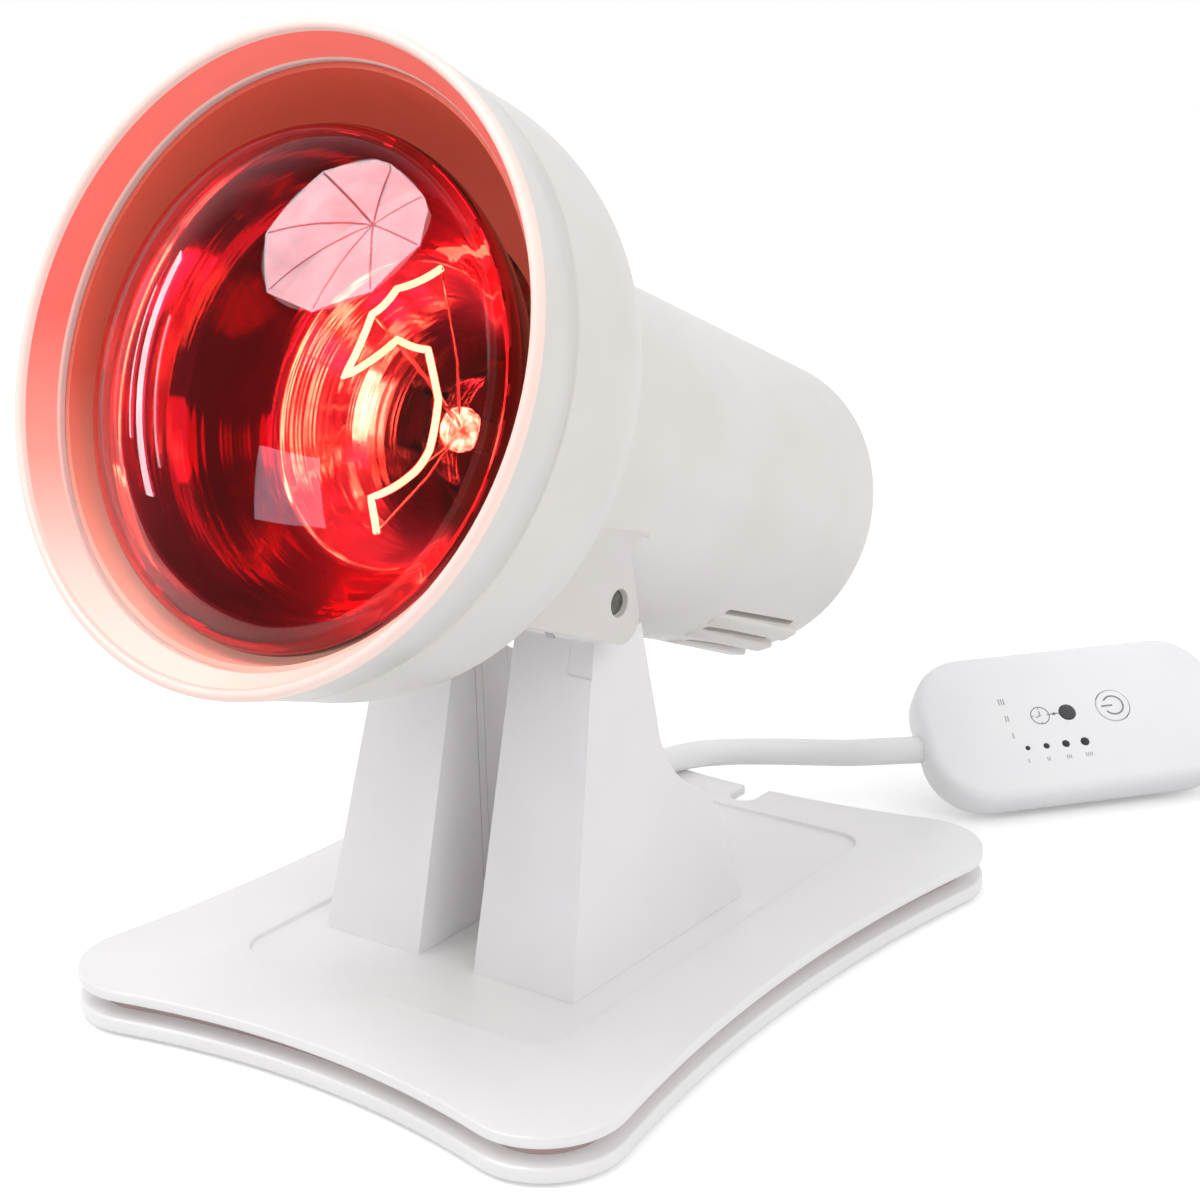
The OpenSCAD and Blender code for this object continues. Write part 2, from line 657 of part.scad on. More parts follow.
// The holder and its bulb hang down a little from the bracket, on whose lower edge the holder's foot leans
module hanging() {
    lean = bracket_h / 2 * sin(bulb_sag);
    head() translate([0, -holder_s - lean, axis_h]) rotate([bulb_sag, 0, 0])
        translate([0, holder_s, 0]) children();
}
module hung(points) {
    hanging() rotate([90, 0, 0]) rotate_extrude($fn = fine) polygon(points);
}
module lamp_holder() color("#f4f1ea") hung([[0, holder_s], [holder_waist_r, holder_s],
    [holder_waist_r, holder_s + holder_waist_l], [holder_top_r, holder_s + holder_waist_l + holder_flare],
    [holder_top_r, mouth_s - holder_edge], [holder_top_r - holder_edge, mouth_s],
    [thread_r, mouth_s], [thread_r, floor_s], [0, floor_s]]);
brass_r = thread_r - thread_gap / 3;
brass_foot_r = 8;
brass_short = 3;
module holder_thread() color("#c9a24a") hung([[brass_r, floor_s], [brass_r, mouth_s - brass_short],
    [cap_r + thread_gap, mouth_s - brass_short], [cap_r + thread_gap, floor_s + 1],
    [brass_foot_r, floor_s + 1], [brass_foot_r, floor_s]]);
contact_h = 3.6;
contact_r = 5;
contact_s = floor_s + contact_h;
contact_gap = 0.1;
module holder_contact() color("#c9a24a") hung([[0, floor_s], [contact_r, floor_s],
    [contact_r, floor_s + 1], [contact_r - 2, contact_s - 6 * contact_gap], [0, contact_s - contact_gap]]);

// ---- bulb ----
neck_s = -5;
cap_top = -22;
// Past the body's mouth the cone keeps clear of the heat shield's tail
mouth_gap = 6.6;
mouth_r = body_front_r - mouth_gap;
cone_points = [[neck_r, neck_s], [19, 3], [20.9, 11], [23.6, 20], [mouth_r - 4, 30], [mouth_r - 1.9, 35],
    [mouth_r, 38], [37, 44], [42.2, 50], [46.2, 58]];
function wall_in(points, t) = [for (i = [len(points) - 1:-1:0]) [points[i][0] - t, points[i][1]]];
dome_rise = apex_s - dome_s;
dome_big_r = (dome_r * dome_r + dome_rise * dome_rise) / (2 * dome_rise);
dome_angle = asin(dome_r / dome_big_r);
function dome(t) = arc([0, apex_s - dome_big_r], dome_big_r - t, 90 - dome_angle, 90, 14);
shoulder_low = [[bulb_r, bulb_wide_s], [bulb_r - 0.5, bulb_wide_s + 2.6], [bulb_r - 1.5, bulb_wide_s + 4.6]];
cap_seal = 0.6;
neck_points = [[cap_r - cap_seal, cap_top], [cap_r + 0.2, cap_top + 3], [cap_r + 3, cap_top + 9]];
module bulb_glass() color([0.75, 0.05, 0.08]) hung(concat(
    neck_points, cone_points, shoulder_low, dome(0), [for (i = [14:-1:0]) dome(glass_t)[i]],
    wall_in(shoulder_low, glass_t), wall_in(cone_points, glass_t), wall_in(neck_points, glass_t)));
mirror_t = 0.3;
mirror_points = concat(cone_points, [shoulder_low[0]]);
module bulb_mirror() color(steel) hung(concat([for (p = mirror_points) [p[0] - glass_t, p[1]]],
    wall_in(mirror_points, glass_t + mirror_t)));
cap_l = 23;
thread_pitch = 3.6;
thread_depth = 0.9;
thread_l = 18;
thread_end = 2.5;
wave_steps = 20;
thread_wave = [for (i = [0:wave_steps]) let (z = cap_top - thread_end - i * thread_l / wave_steps)
    [cap_r - thread_depth / 2 + thread_depth / 2 * cos(360 * (z - cap_top) / thread_pitch), z]];
cap_end = cap_top - cap_l;
cap_in_r = 11.4;
insulator_r = 9.2;
cap_end_r = insulator_r + 0.4;
module bulb_cap() color("#c8c4bc") hung(concat([[cap_r - cap_seal, cap_top], [cap_r + 0.1, cap_top]],
    thread_wave, [[cap_end_r, cap_end], [insulator_r, cap_end], [cap_in_r, cap_end + thread_end],
    [cap_in_r, cap_top - 1]]));
insulator_h = 3;
insulator_low_r = 6;
insulator_end = cap_end - insulator_h;
module cap_insulator() color("#1d1b1b") hung([[0, cap_end], [insulator_r, cap_end],
    [insulator_low_r, insulator_end], [0, insulator_end]]);
tip_r = 4.6;
module cap_contact() color("#b9b3a6") hung([[0, insulator_end], [tip_r, insulator_end],
    [tip_r - 1, insulator_end - 1], [0, contact_s]]);

// The filament stands across the bulb on wires from the stem's glass bead
stem_top = 18;
stem_r = 5;
stem_flare = 12;
bead_r = 4.2;
bead_neck_r = 3.4;
bead_l = 6;
module filament_stem() color([0.9, 0.85, 0.82]) hung([[0, cap_top + 1], [cap_r - 2.2, cap_top + 1],
    [cap_r - 2.4, cap_top + 4], [stem_r, cap_top + stem_flare], [bead_neck_r, stem_top - bead_l],
    [bead_r, stem_top - bead_l / 2], [bead_neck_r, stem_top], [0, stem_top]]);
filament_s = 38;
filament_wire_r = 0.6;
wire_r = 0.5;
wire_sides = 16;
// The filament's bends across the bulb: sideways, and above the bulb's axis
filament_bends = [[2.9, -22.4], [0, -16.2], [8.3, -11], [11.7, -5.8], [11.6, 3.5], [7, 12.3],
    [-0.6, 13.4], [-11.9, 5.2], [-7.8, 17.5], [-3, 22.7], [6.7, 27.4]];
function across_bulb(p, s) = [p[0], -s, p[1]];
module wire(p, q, r) {
    d = q - p;
    translate(p) rotate([0, acos(d[2] / norm(d)), atan2(d[1], d[0])])
        cylinder(r = r, h = norm(d), $fn = wire_sides);
}
bead_hold = 2.2;
hook_in = 0.4;
hook_back = 0.9;
module filament_supports() color("#a8a29a") hanging() for (i = [0:2:len(filament_bends) - 1])
    let (p = filament_bends[i], out = p / norm(p))
        wire(across_bulb(bead_hold * out, stem_top - eps),
            across_bulb(p - hook_in * out, filament_s - hook_back), wire_r);
module filament() color("#ffb070") hanging() for (i = [0:len(filament_bends) - 2])
    wire(across_bulb(filament_bends[i], filament_s), across_bulb(filament_bends[i + 1], filament_s),
        filament_wire_r);

// ---- timer control ----
hand_c = [57.6, 134.7, hand_w / 2 * sin(hand_tilt) + hand_t * cos(hand_tilt)];
hand_split = 5;
lead_y = -1.5;
lead_z = -6;
module on_control() {
    translate(hand_c) rotate([0, 0, hand_turn]) rotate([hand_tilt, 0, 0]) children();
}
module control_slab(inset, z0, z1) {
    translate([0, 0, z0]) linear_extrude(z1 - z0)
        rounded(hand_l - 2 * inset, hand_w - 2 * inset, hand_r - inset);
}
face_edge = 1.2;
power_at = [9.9, 1.4];
timer_at = [-2.1, 1];
button_gap = 0.25;
dots = [[-14.9, 0.6], [-10.1, 0.75], [-5.1, 0.95], [-0.2, 1.1]];
dots_y = -7.4;
module at_face(p) translate([p[0], p[1], 0]) children();
hand_screw_in = 10;
hand_screw_x = hand_l / 2 - hand_screw_in;
bore_in = hand_wall + 6;
face_bore = 5;
module lead_bores() translate([0, lead_y, lead_z]) {
    rod_x(lead_d / 2 + fit, -hand_l, -hand_l / 2 + bore_in);
    rod_x(lead_d / 2 + fit, hand_l / 2 - bore_in, hand_l);
}
module face_hole(p, r) at_face(p) translate([0, 0, -face_bore])
    cylinder(r = r, h = face_bore + 1, $fn = fine);
module control_top() color("#f2f2f4") on_control() difference() {
    union() {
        control_slab(0, -hand_split, -face_edge);
        control_slab(face_edge, -face_edge, 0);
    }
    control_slab(hand_wall + face_edge, -hand_split - 1, -hand_wall);
    face_hole(power_at, power_r + button_gap);
    face_hole(timer_at, timer_r + button_gap);
    for (d = dots) face_hole([d[0], dots_y], d[1]);
    lead_bores();
}
module control_bottom() color("#ededf0") on_control() difference() {
    union() {
        control_slab(face_edge, -hand_t, -hand_t + face_edge);
        control_slab(0, -hand_t + face_edge, -hand_split);
    }
    control_slab(hand_wall + face_edge, -hand_t + hand_wall, 0);
    lead_bores();
    for (k = [-1, 1]) translate([k * hand_screw_x, 0, -hand_t - 1])
        cylinder(r = screw_r, h = 2 * hand_wall, $fn = fine);
}
foot_inset = 8;
foot_reach = 40;
foot_shift = 0.22;
foot_corner_r = 5;
// A wedge under the control that carries its raised side
module control_foot() color("#ededf0") difference() {
    translate([hand_c[0], hand_c[1], 0]) rotate([0, 0, hand_turn]) translate([0, foot_shift * hand_w, 0])
        linear_extrude(foot_reach)
            rounded(hand_l - 3 * foot_inset, hand_w * cos(hand_tilt) - foot_inset, foot_corner_r);
    on_control() translate([-hand_l, -hand_l, -hand_t]) cube([2 * hand_l, 2 * hand_l, 3 * foot_reach]);
}
board_t = 1.2;
board_z = -5.2;
board_gap = 0.3;
board_end = 8;
board_r = 6;
hand_screw_l = 4;
lens_gap = 0.02;
module control_board() color("#2f6b45") on_control() difference() {
    translate([0, 0, board_z]) linear_extrude(board_t)
        rounded(hand_l - 2 * (hand_wall + face_edge + board_end),
            hand_w - 2 * (hand_wall + face_edge + board_gap), board_r);
    for (k = [-1, 1]) translate([k * hand_screw_x, 0, board_z - 1])
        cylinder(r = screw_head_r + 1, h = 3 * board_t, $fn = fine);
}
module control_screws() color(steel) on_control() for (k = [-1, 1])
    translate([k * hand_screw_x, 0, -hand_t + fit])
        cylinder(r = screw_r - lens_gap, h = hand_screw_l, $fn = fine);
key_out = 0.3;
key_rim = 0.7;
key_rest = 0.2;
// A button's cap stands in its hole, its rim below the face keeps it in
module button(r) {
    translate([0, 0, -hand_wall - button_travel - key_rest])
        cylinder(r = r, h = hand_wall + button_travel + key_rest + key_out, $fn = fine);
    translate([0, 0, -hand_wall - key_rest - key_rim]) cylinder(r = r + key_rim, h = key_rim, $fn = fine);
}
module power_button() color("#f0f0f2") on_control() at_face(power_at) button(power_r);
module timer_button() color("#3b3b3d") on_control() at_face(timer_at) button(timer_r);
module indicator_lights() color("#303032") on_control() for (d = dots) at_face([d[0], dots_y])
    translate([0, 0, board_z + board_t])
        cylinder(r = d[1] - lens_gap, h = -board_z - board_t - 5 * lens_gap, $fn = fine);

// ---- leads ----
lead_r = lead_d / 2;
tie_t = 0.8;
tie_gap = 0.35;
coil_z = lead_r + tie_t + tie_gap;
tube_sides = 10;
// Rings of the tube follow the route; every ring stands square to the route there
function unit(v) = v / norm(v);
function heading(p, i) = unit(p[min(i + 1, len(p) - 1)] - p[max(i - 1, 0)]);
function ring_at(p, i, r, n) = let (t = heading(p, i), x = unit(cross(t, [0, 0, 1])), y = cross(x, t))
    [for (k = [0:n - 1]) p[i] + r * (cos(360 * k / n) * x + sin(360 * k / n) * y)];
module tube(p, r, n) {
    m = len(p);
    polyhedron(
        points = [for (i = [0:m - 1]) each ring_at(p, i, r, n)],
        faces = concat(
            [[for (k = [n - 1:-1:0]) k]],
            [for (i = [0:m - 2], k = [0:n - 1]) let (a = i * n, b = a + n, next = (k + 1) % n) each
                [[a + k, b + next, b + k], [a + k, a + next, b + next]]],
            [[for (k = [0:n - 1]) (m - 1) * n + k]]));
}
// Where the leads enter the control, in the lamp's frame
along = [cos(hand_turn), sin(hand_turn), 0];
away = [-sin(hand_turn) * cos(hand_tilt), cos(hand_turn) * cos(hand_tilt), sin(hand_tilt)];
outward = cross(along, away);
function on_end(k, reach) = hand_c + (k * hand_l / 2 + reach) * along + lead_y * away + lead_z * outward;

relief_x = -20;
relief_z = 18.6;
relief_l = 22;
relief_r = 4.8;
relief_start = 18;
relief_flange = 1.2;
relief_plug_l = 7;
relief_gap = 0.1;
sleeve_gap = 0.05;
sleeve_end = 0.6;
module relief_hole() translate([-relief_x, relief_start, relief_z]) rotate([-90, 0, 0])
    cylinder(r = relief_r + relief_gap, h = 2 * relief_plug_l, $fn = fine);
module lamp_strain_relief() color("#e8e6e6") translate([relief_x, relief_start, relief_z]) rotate([-90, 0, 0])
    difference() {
        union() {
            cylinder(r = relief_r + relief_flange, h = relief_flange - relief_gap, $fn = fine);
            cylinder(r = relief_r, h = relief_plug_l, $fn = fine);
            translate([0, 0, relief_plug_l])
                cylinder(r1 = relief_r, r2 = lead_r + sleeve_end, h = relief_l, $fn = fine);
        }
        translate([0, 0, -1])
            cylinder(r = lead_r + sleeve_gap, h = relief_l + relief_plug_l + 2, $fn = fine);
    }
// The lead runs straight out of its relief, sinks behind the base and crosses to the control
lead_route = [[relief_x, relief_start + 0.5, relief_z], [relief_x, 34, relief_z], [relief_x, 46, relief_z],
    [-20, 51, 18], [-20.1, 57, 16.6], [-20.2, 63, 14.9], [-20, 69, 13.8], [-18.4, 75, 13.5],
    [-15, 80.4, 13.5], [-9.6, 86.8, 13.1], [-2.5, 92.6, 12.7], [5.5, 96.9, 12.8], [14, 99.6, 13.5],
    [21, 101.6, 14.6]];
module lead_to_control() color("#ececec") tube(concat(lead_route, [on_end(-1, 1.5)]), lead_r, tube_sides);

mains_relief_l = 25;
mains_relief_r = 4.6;
mains_plug_l = 3;
module mains_strain_relief() color("#e8e6e6") on_control() translate([hand_l / 2, lead_y, lead_z])
    rotate([0, 90, 0]) difference() {
        union() {
            translate([0, 0, -mains_plug_l])
                cylinder(r = lead_r + fit - lens_gap, h = mains_plug_l + relief_gap, $fn = fine);
            translate([0, 0, relief_gap])
                cylinder(r1 = mains_relief_r, r2 = lead_r + sleeve_end, h = mains_relief_l, $fn = fine);
        }
        translate([0, 0, -mains_plug_l - 1])
            cylinder(r = lead_r - sleeve_end, h = 2 * mains_plug_l, $fn = fine);
        translate([0, 0, relief_gap + sleeve_gap])
            cylinder(r = lead_r + sleeve_gap, h = mains_relief_l + 1, $fn = fine);
    }

// The coil: clockwise from above, inwards on top, outwards on the table
coil_out_r = coil_in_r + coil_turns * coil_step;
ramp_turn = 60;
run_out = 44;
coil_start = 90 + hand_turn - ramp_turn;
right_hand = [sin(hand_turn), -cos(hand_turn), 0];
coil_c = on_end(1, run_out) + coil_out_r * right_hand;
loop_rings = 24;
coil_rings = floor(2 * coil_turns * loop_rings);
climb = 0.5;
function coil_point(i) = let (n = i / loop_rings, back = abs(n - coil_turns),
    lift = 1 - min(1, max(0, (n - coil_turns + climb / 2) / climb)),
    r = coil_in_r + coil_step * back, a = coil_start - 360 * n)
    [coil_c[0] + r * cos(a), coil_c[1] + r * sin(a), coil_z + coil_step * lift];
coil_path = [for (i = [0:coil_rings]) coil_point(i)];
coil_gaps = [for (i = [0:coil_rings], j = [i + loop_rings / 2:coil_rings])
    norm(coil_path[i] - coil_path[j]) - lead_d];
echo(least_gap_in_coil = min(coil_gaps));
module mains_coil() color("#ececec") tube(coil_path, lead_r, 6);

ramp_steps = 8;
ramp_drop = on_end(1, 0)[2] - coil_z - coil_step;
function ramp_point(i) = let (f = i / ramp_steps, a = 90 + hand_turn - ramp_turn * f)
    [coil_c[0] + coil_out_r * cos(a), coil_c[1] + coil_out_r * sin(a),
    on_end(1, 0)[2] - ramp_drop * (1 - cos(180 * f)) / 2];
straight_reaches = [0.2, 12, 26, 36];
module mains_lead() color("#ececec") tube(concat([for (reach = straight_reaches) on_end(1, reach)],
    [for (i = [0:ramp_steps]) ramp_point(i)]), lead_r, tube_sides);

coil_end = coil_path[coil_rings];
end_turn = coil_start - 360 * coil_rings / loop_rings;
tail_dir = [sin(end_turn), -cos(end_turn), 0];
plug_t = 14;
tail_l = 44;
tail_steps = 6;
module mains_tail() color("#ececec") tube([for (i = [0:tail_steps]) let (f = i / tail_steps)
    coil_end + tail_l * f * tail_dir + [0, 0, (plug_t / 2 - coil_end[2]) * (1 - cos(180 * f)) / 2]],
    lead_r, tube_sides);

plug_w = 34;
plug_l = 34;
pin_gap = 18.6;
plug_pin_r = 2;
plug_pin_l = 19;
module on_plug() {
    translate([coil_end[0], coil_end[1], plug_t / 2] + tail_l * tail_dir) rotate([0, 0, end_turn - 90])
        children();
}
plug_neck_w = 11;
plug_neck_t = 10;
plug_neck_l = plug_l / 2;
plug_ring = 2;
module plug_body() color("#e9e9ea") on_plug() union() {
    hull() {
        translate([plug_ring / 2, 0, 0]) cube([plug_ring, plug_neck_w, plug_neck_t], center = true);
        translate([plug_neck_l + plug_ring / 2, 0, 0]) cube([plug_ring, plug_w, plug_t], center = true);
    }
    translate([plug_neck_l, -plug_w / 2, -plug_t / 2]) cube([plug_l - plug_neck_l, plug_w, plug_t]);
}
module plug_pins() color(steel) on_plug() for (k = [-1, 1])
    translate([plug_l, k * pin_gap / 2, 0]) rotate([0, 90, 0])
        cylinder(r = plug_pin_r, h = plug_pin_l, $fn = fine);

tie_w = 7;
tie_turn = coil_start + 150;
coil_h = lead_d + coil_step + 2 * tie_gap;
tie_in = coil_in_r - lead_r - tie_gap - tie_t;
tie_out = coil_out_r + lead_r + tie_gap + tie_t;
module cord_tie() color("#2a2a2b") translate([coil_c[0], coil_c[1], 0]) rotate([0, 0, tie_turn])
    translate([0, -tie_w / 2, 0]) difference() {
        translate([tie_in, 0, 0]) cube([tie_out - tie_in, tie_w, coil_h + 2 * tie_t]);
        translate([tie_in + tie_t, -1, tie_t]) cube([tie_out - tie_in - 2 * tie_t, tie_w + 2, coil_h]);
    }

base_cover();
base_tray();
ballast_plate();
rubber_feet();
base_screws();
leg_shell_left();
leg_shell_right();
leg_cover_left();
leg_cover_right();
support_arm_left();
support_arm_right();
hinge_pin();
friction_discs();
spacer_sleeve();
hinge_cheek_left();
hinge_cheek_right();
front_rim();
hood_shell();
heat_shield();
body_shell();
holder_bracket();
holder_screws();
lamp_holder();
holder_thread();
holder_contact();
bulb_glass();
bulb_mirror();
bulb_cap();
cap_insulator();
cap_contact();
filament_stem();
filament_supports();
filament();
control_bottom();
control_top();
control_foot();
control_board();
control_screws();
power_button();
timer_button();
indicator_lights();
lamp_strain_relief();
lead_to_control();
mains_strain_relief();
mains_lead();
mains_coil();
mains_tail();
cord_tie();
plug_body();
plug_pins();
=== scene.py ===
import json
import math

import bmesh
import bpy
from mathutils import Matrix, Vector


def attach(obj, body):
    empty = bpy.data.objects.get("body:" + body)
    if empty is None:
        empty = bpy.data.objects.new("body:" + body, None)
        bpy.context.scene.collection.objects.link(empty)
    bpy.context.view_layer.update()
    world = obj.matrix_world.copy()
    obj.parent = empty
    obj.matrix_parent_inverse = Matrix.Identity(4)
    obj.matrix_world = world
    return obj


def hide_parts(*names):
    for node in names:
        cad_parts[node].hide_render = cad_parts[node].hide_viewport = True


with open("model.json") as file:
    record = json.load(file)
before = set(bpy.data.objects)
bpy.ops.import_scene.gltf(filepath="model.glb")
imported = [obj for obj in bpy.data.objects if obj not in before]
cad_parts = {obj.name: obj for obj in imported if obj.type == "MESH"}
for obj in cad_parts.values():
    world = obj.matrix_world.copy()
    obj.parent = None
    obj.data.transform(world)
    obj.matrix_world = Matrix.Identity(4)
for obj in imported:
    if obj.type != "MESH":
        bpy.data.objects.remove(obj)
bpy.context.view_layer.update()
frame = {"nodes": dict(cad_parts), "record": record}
nodes = frame["nodes"]
body_of_node = {n: body for body, members in frame["record"]["behaviour"]["bodies"].items() for n in members}
MM = 0.001
LATHE_STEPS = 144


# ---- hand tools ----
def only(piece):
    """Picks one object and nothing else."""
    bpy.ops.object.select_all(action="DESELECT")
    piece.select_set(True)
    bpy.context.view_layer.objects.active = piece


def start_edit(piece):
    """Opens one piece for editing."""
    only(piece)
    bpy.ops.object.mode_set(mode="EDIT")


def end_edit():
    bpy.ops.object.mode_set(mode="OBJECT")


def pick(piece, kind, test):
    """In edit mode, selects the vertices, edges or faces that pass the test."""
    bpy.ops.mesh.select_mode(type=kind)
    bpy.ops.mesh.select_all(action="DESELECT")
    shape = bmesh.from_edit_mesh(piece.data)
    for part in {"VERT": shape.verts, "EDGE": shape.edges, "FACE": shape.faces}[kind]:
        if test(part):
            part.select_set(True)
    shape.select_flush_mode()
    bmesh.update_edit_mesh(piece.data)


def shift(x, y, z):
    """A move, in millimetres."""
    return Matrix.Translation((x * MM, y * MM, z * MM))


def turned(degrees, axis):
    """A turn about an axis."""
    return Matrix.Rotation(math.radians(degrees), 4, axis)


def place(piece, where):
    """Puts a finished shape where it belongs and keeps its place in its mesh."""
    only(piece)
    piece.matrix_world = where @ piece.matrix_world
    bpy.ops.object.transform_apply(location=True, rotation=True, scale=True)
    return piece


def tidy(piece):
    """Faces outwards, and nothing doubled."""
    start_edit(piece)
    bpy.ops.mesh.select_all(action="SELECT")
    bpy.ops.mesh.remove_doubles(threshold=0.000002)
    bpy.ops.mesh.normals_make_consistent(inside=False)
    end_edit()
    return piece


def smooth(piece, angle=35):
    """Rounds the shading, and keeps edges sharper than the angle, in degrees."""
    only(piece)
    bpy.ops.object.shade_smooth_by_angle(angle=math.radians(angle))
    return piece


def modified(piece, kind, **settings):
    """Adds one modifier to a piece and applies it."""
    only(piece)
    bpy.ops.object.modifier_add(type=kind)
    modifier = piece.modifiers[-1]
    for name, value in settings.items():
        setattr(modifier, name, value)
    bpy.ops.object.modifier_apply(modifier=modifier.name)
    return piece


def soften(piece, width, segments=3, angle=32):
    """Rounds the sharp edges as a mould does."""
    modified(piece, "BEVEL", width=width * MM, segments=segments, limit_method="ANGLE",
             angle_limit=math.radians(angle), use_clamp_overlap=True, miter_outer="MITER_ARC")
    return smooth(piece)


def cut(piece, *cutters):
    """Takes the cutters' room out of a piece, and the cutters away."""
    for cutter in cutters:
        modified(piece, "BOOLEAN", operation="DIFFERENCE", solver="EXACT", object=cutter)
        bpy.data.objects.remove(cutter)
    return piece


def capped(piece):
    """Closes a piece's open rims with flat faces."""
    start_edit(piece)
    pick(piece, "EDGE", lambda edge: edge.is_boundary)
    bpy.ops.mesh.edge_face_add()
    end_edit()
    return tidy(piece)


def blown(piece, thickness):
    """Opens a turned form at its flat end and gives it a wall, inwards."""
    start_edit(piece)
    pick(piece, "FACE", lambda face: len(face.verts) > 4)
    bpy.ops.mesh.delete(type="FACE")
    end_edit()
    return modified(piece, "SOLIDIFY", thickness=thickness * MM, offset=-1)


def joined(piece, *others):
    """Makes one piece of several; the first one gives its name."""
    bpy.ops.object.select_all(action="DESELECT")
    for o in (piece, *others):
        o.select_set(True)
    bpy.context.view_layer.objects.active = piece
    bpy.ops.object.join()
    return piece


def new_object(name, data):
    """Puts a new object into the scene."""
    thing = bpy.data.objects.new(name, data)
    bpy.context.scene.collection.objects.link(thing)
    return thing


def mirrored(piece, name):
    """The same part for the other side, turned right side out again."""
    twin = new_object(name, piece.data.copy())
    return smooth(tidy(place(twin, Matrix.Scale(-1, 4, (1, 0, 0)))))


def finished(piece, name, body, finish, *stands_for, slot=None):
    """Names a piece, gives it its finish, and says which body it rides and which solids it stands for."""
    piece.name = name
    piece.data.name = name
    piece.data.materials.clear()
    piece.data.materials.append(finish)
    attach(piece, body)
    if stands_for:
        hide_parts(*stands_for)
    return piece


def repaint(piece, finish, chosen):
    """Gives the faces that are chosen a finish of their own."""
    piece.data.materials.append(finish)
    for face in piece.data.polygons:
        if chosen(face):
            face.material_index = len(piece.data.materials) - 1


def drawn_line(name, points, radius, resolution):
    """A round line through the points, all in millimetres."""
    drawn = bpy.data.curves.new(name, "CURVE")
    drawn.dimensions = "3D"
    drawn.bevel_depth = radius * MM
    drawn.bevel_resolution = resolution
    drawn.use_fill_caps = True
    line = drawn.splines.new("POLY")
    line.points.add(len(points) - 1)
    for spot, (x, y, z) in zip(line.points, points):
        spot.co = (x * MM, y * MM, z * MM, 1)
    return new_object(name, drawn)


def arc(cx, cy, r, a0, a1, steps):
    """Points on an arc, from angle a0 to a1 in degrees."""
    turns = [math.radians(a0 + (a1 - a0) * i / steps) for i in range(steps + 1)]
    return [(cx + r * math.cos(a), cy + r * math.sin(a)) for a in turns]


def lathe(profile, steps=LATHE_STEPS, closed=True):
    """A turned part: a ring at the profile's first point [radius, height] is drawn out from point to point.
    A profile that is closed joins its last ring to its first; one that ends on the axis closes in a pole."""
    (r0, z0), rest = profile[0], profile[1:]
    bpy.ops.object.select_all(action="DESELECT")
    bpy.ops.mesh.primitive_circle_add(vertices=steps, radius=r0 * MM, location=(0, 0, z0 * MM))
    piece = bpy.context.active_object
    bpy.ops.object.mode_set(mode="EDIT")
    bpy.ops.mesh.select_mode(type="VERT")
    bpy.ops.mesh.select_all(action="SELECT")
    if not closed:
        bpy.ops.mesh.edge_face_add()
    for r, z in rest:
        bpy.ops.mesh.extrude_region_move(TRANSFORM_OT_translate={"value": (0, 0, (z - z0) * MM)})
        if r > 0 and abs(r - r0) > 1e-9:
            bpy.ops.transform.resize(value=(r / r0, r / r0, 1), center_override=(0, 0, 0))
        if r == 0:
            bpy.ops.mesh.merge(type="CENTER")
        r0, z0 = r, z
    if closed:
        pick(piece, "EDGE", lambda edge: edge.is_boundary)
        bpy.ops.mesh.bridge_edge_loops()
    end_edit()
    place(piece, Matrix.Identity(4))
    return tidy(piece)


def spun(profile, where, angle=35, steps=LATHE_STEPS, closed=True):
    """A turned part in its place, its shading rounded."""
    return smooth(place(lathe(profile, steps, closed), where), angle)


def slab(outline, depth):
    """A flat plate of the outline given, standing on the table, depth high."""
    bpy.ops.object.select_all(action="DESELECT")
    bpy.ops.mesh.primitive_circle_add(vertices=len(outline), radius=0.05, fill_type="NGON")
    piece = bpy.context.active_object
    for corner, (x, y) in zip(piece.data.vertices, outline):
        corner.co = (x * MM, y * MM, 0)
    bpy.ops.object.mode_set(mode="EDIT")
    bpy.ops.mesh.select_all(action="SELECT")
    bpy.ops.mesh.extrude_region_move(TRANSFORM_OT_translate={"value": (0, 0, depth * MM)})
    end_edit()
    return tidy(piece)


def rounded_rectangle(w, d, r, steps=10):
    """An outline w across and d deep, its corners of radius r."""
    x, y = w / 2 - r, d / 2 - r
    return (arc(x, y, r, 0, 90, steps) + arc(-x, y, r, 90, 180, steps)
            + arc(-x, -y, r, 180, 270, steps) + arc(x, -y, r, 270, 360, steps))


# ---- camera ----
CAMERA_TURN, CAMERA_RISE, CAMERA_ROLL = 36.54, 17.58, -1.46
CAMERA_AT = (291.55, -372.92, 226.56)
FOCAL_PX, FRAME_PX, SENSOR = 2418.34, 1200, 36.0
camera_data = bpy.data.cameras.new("camera")
camera_data.sensor_width = SENSOR
camera_data.lens = FOCAL_PX / FRAME_PX * SENSOR
camera_data.clip_start = 0.02
camera_data.clip_end = 50
camera = new_object("camera", camera_data)
camera.matrix_world = (shift(*CAMERA_AT) @ turned(CAMERA_TURN, "Z") @ turned(90 - CAMERA_RISE, "X")
                       @ turned(CAMERA_ROLL, "Z"))
bpy.context.scene.camera = camera

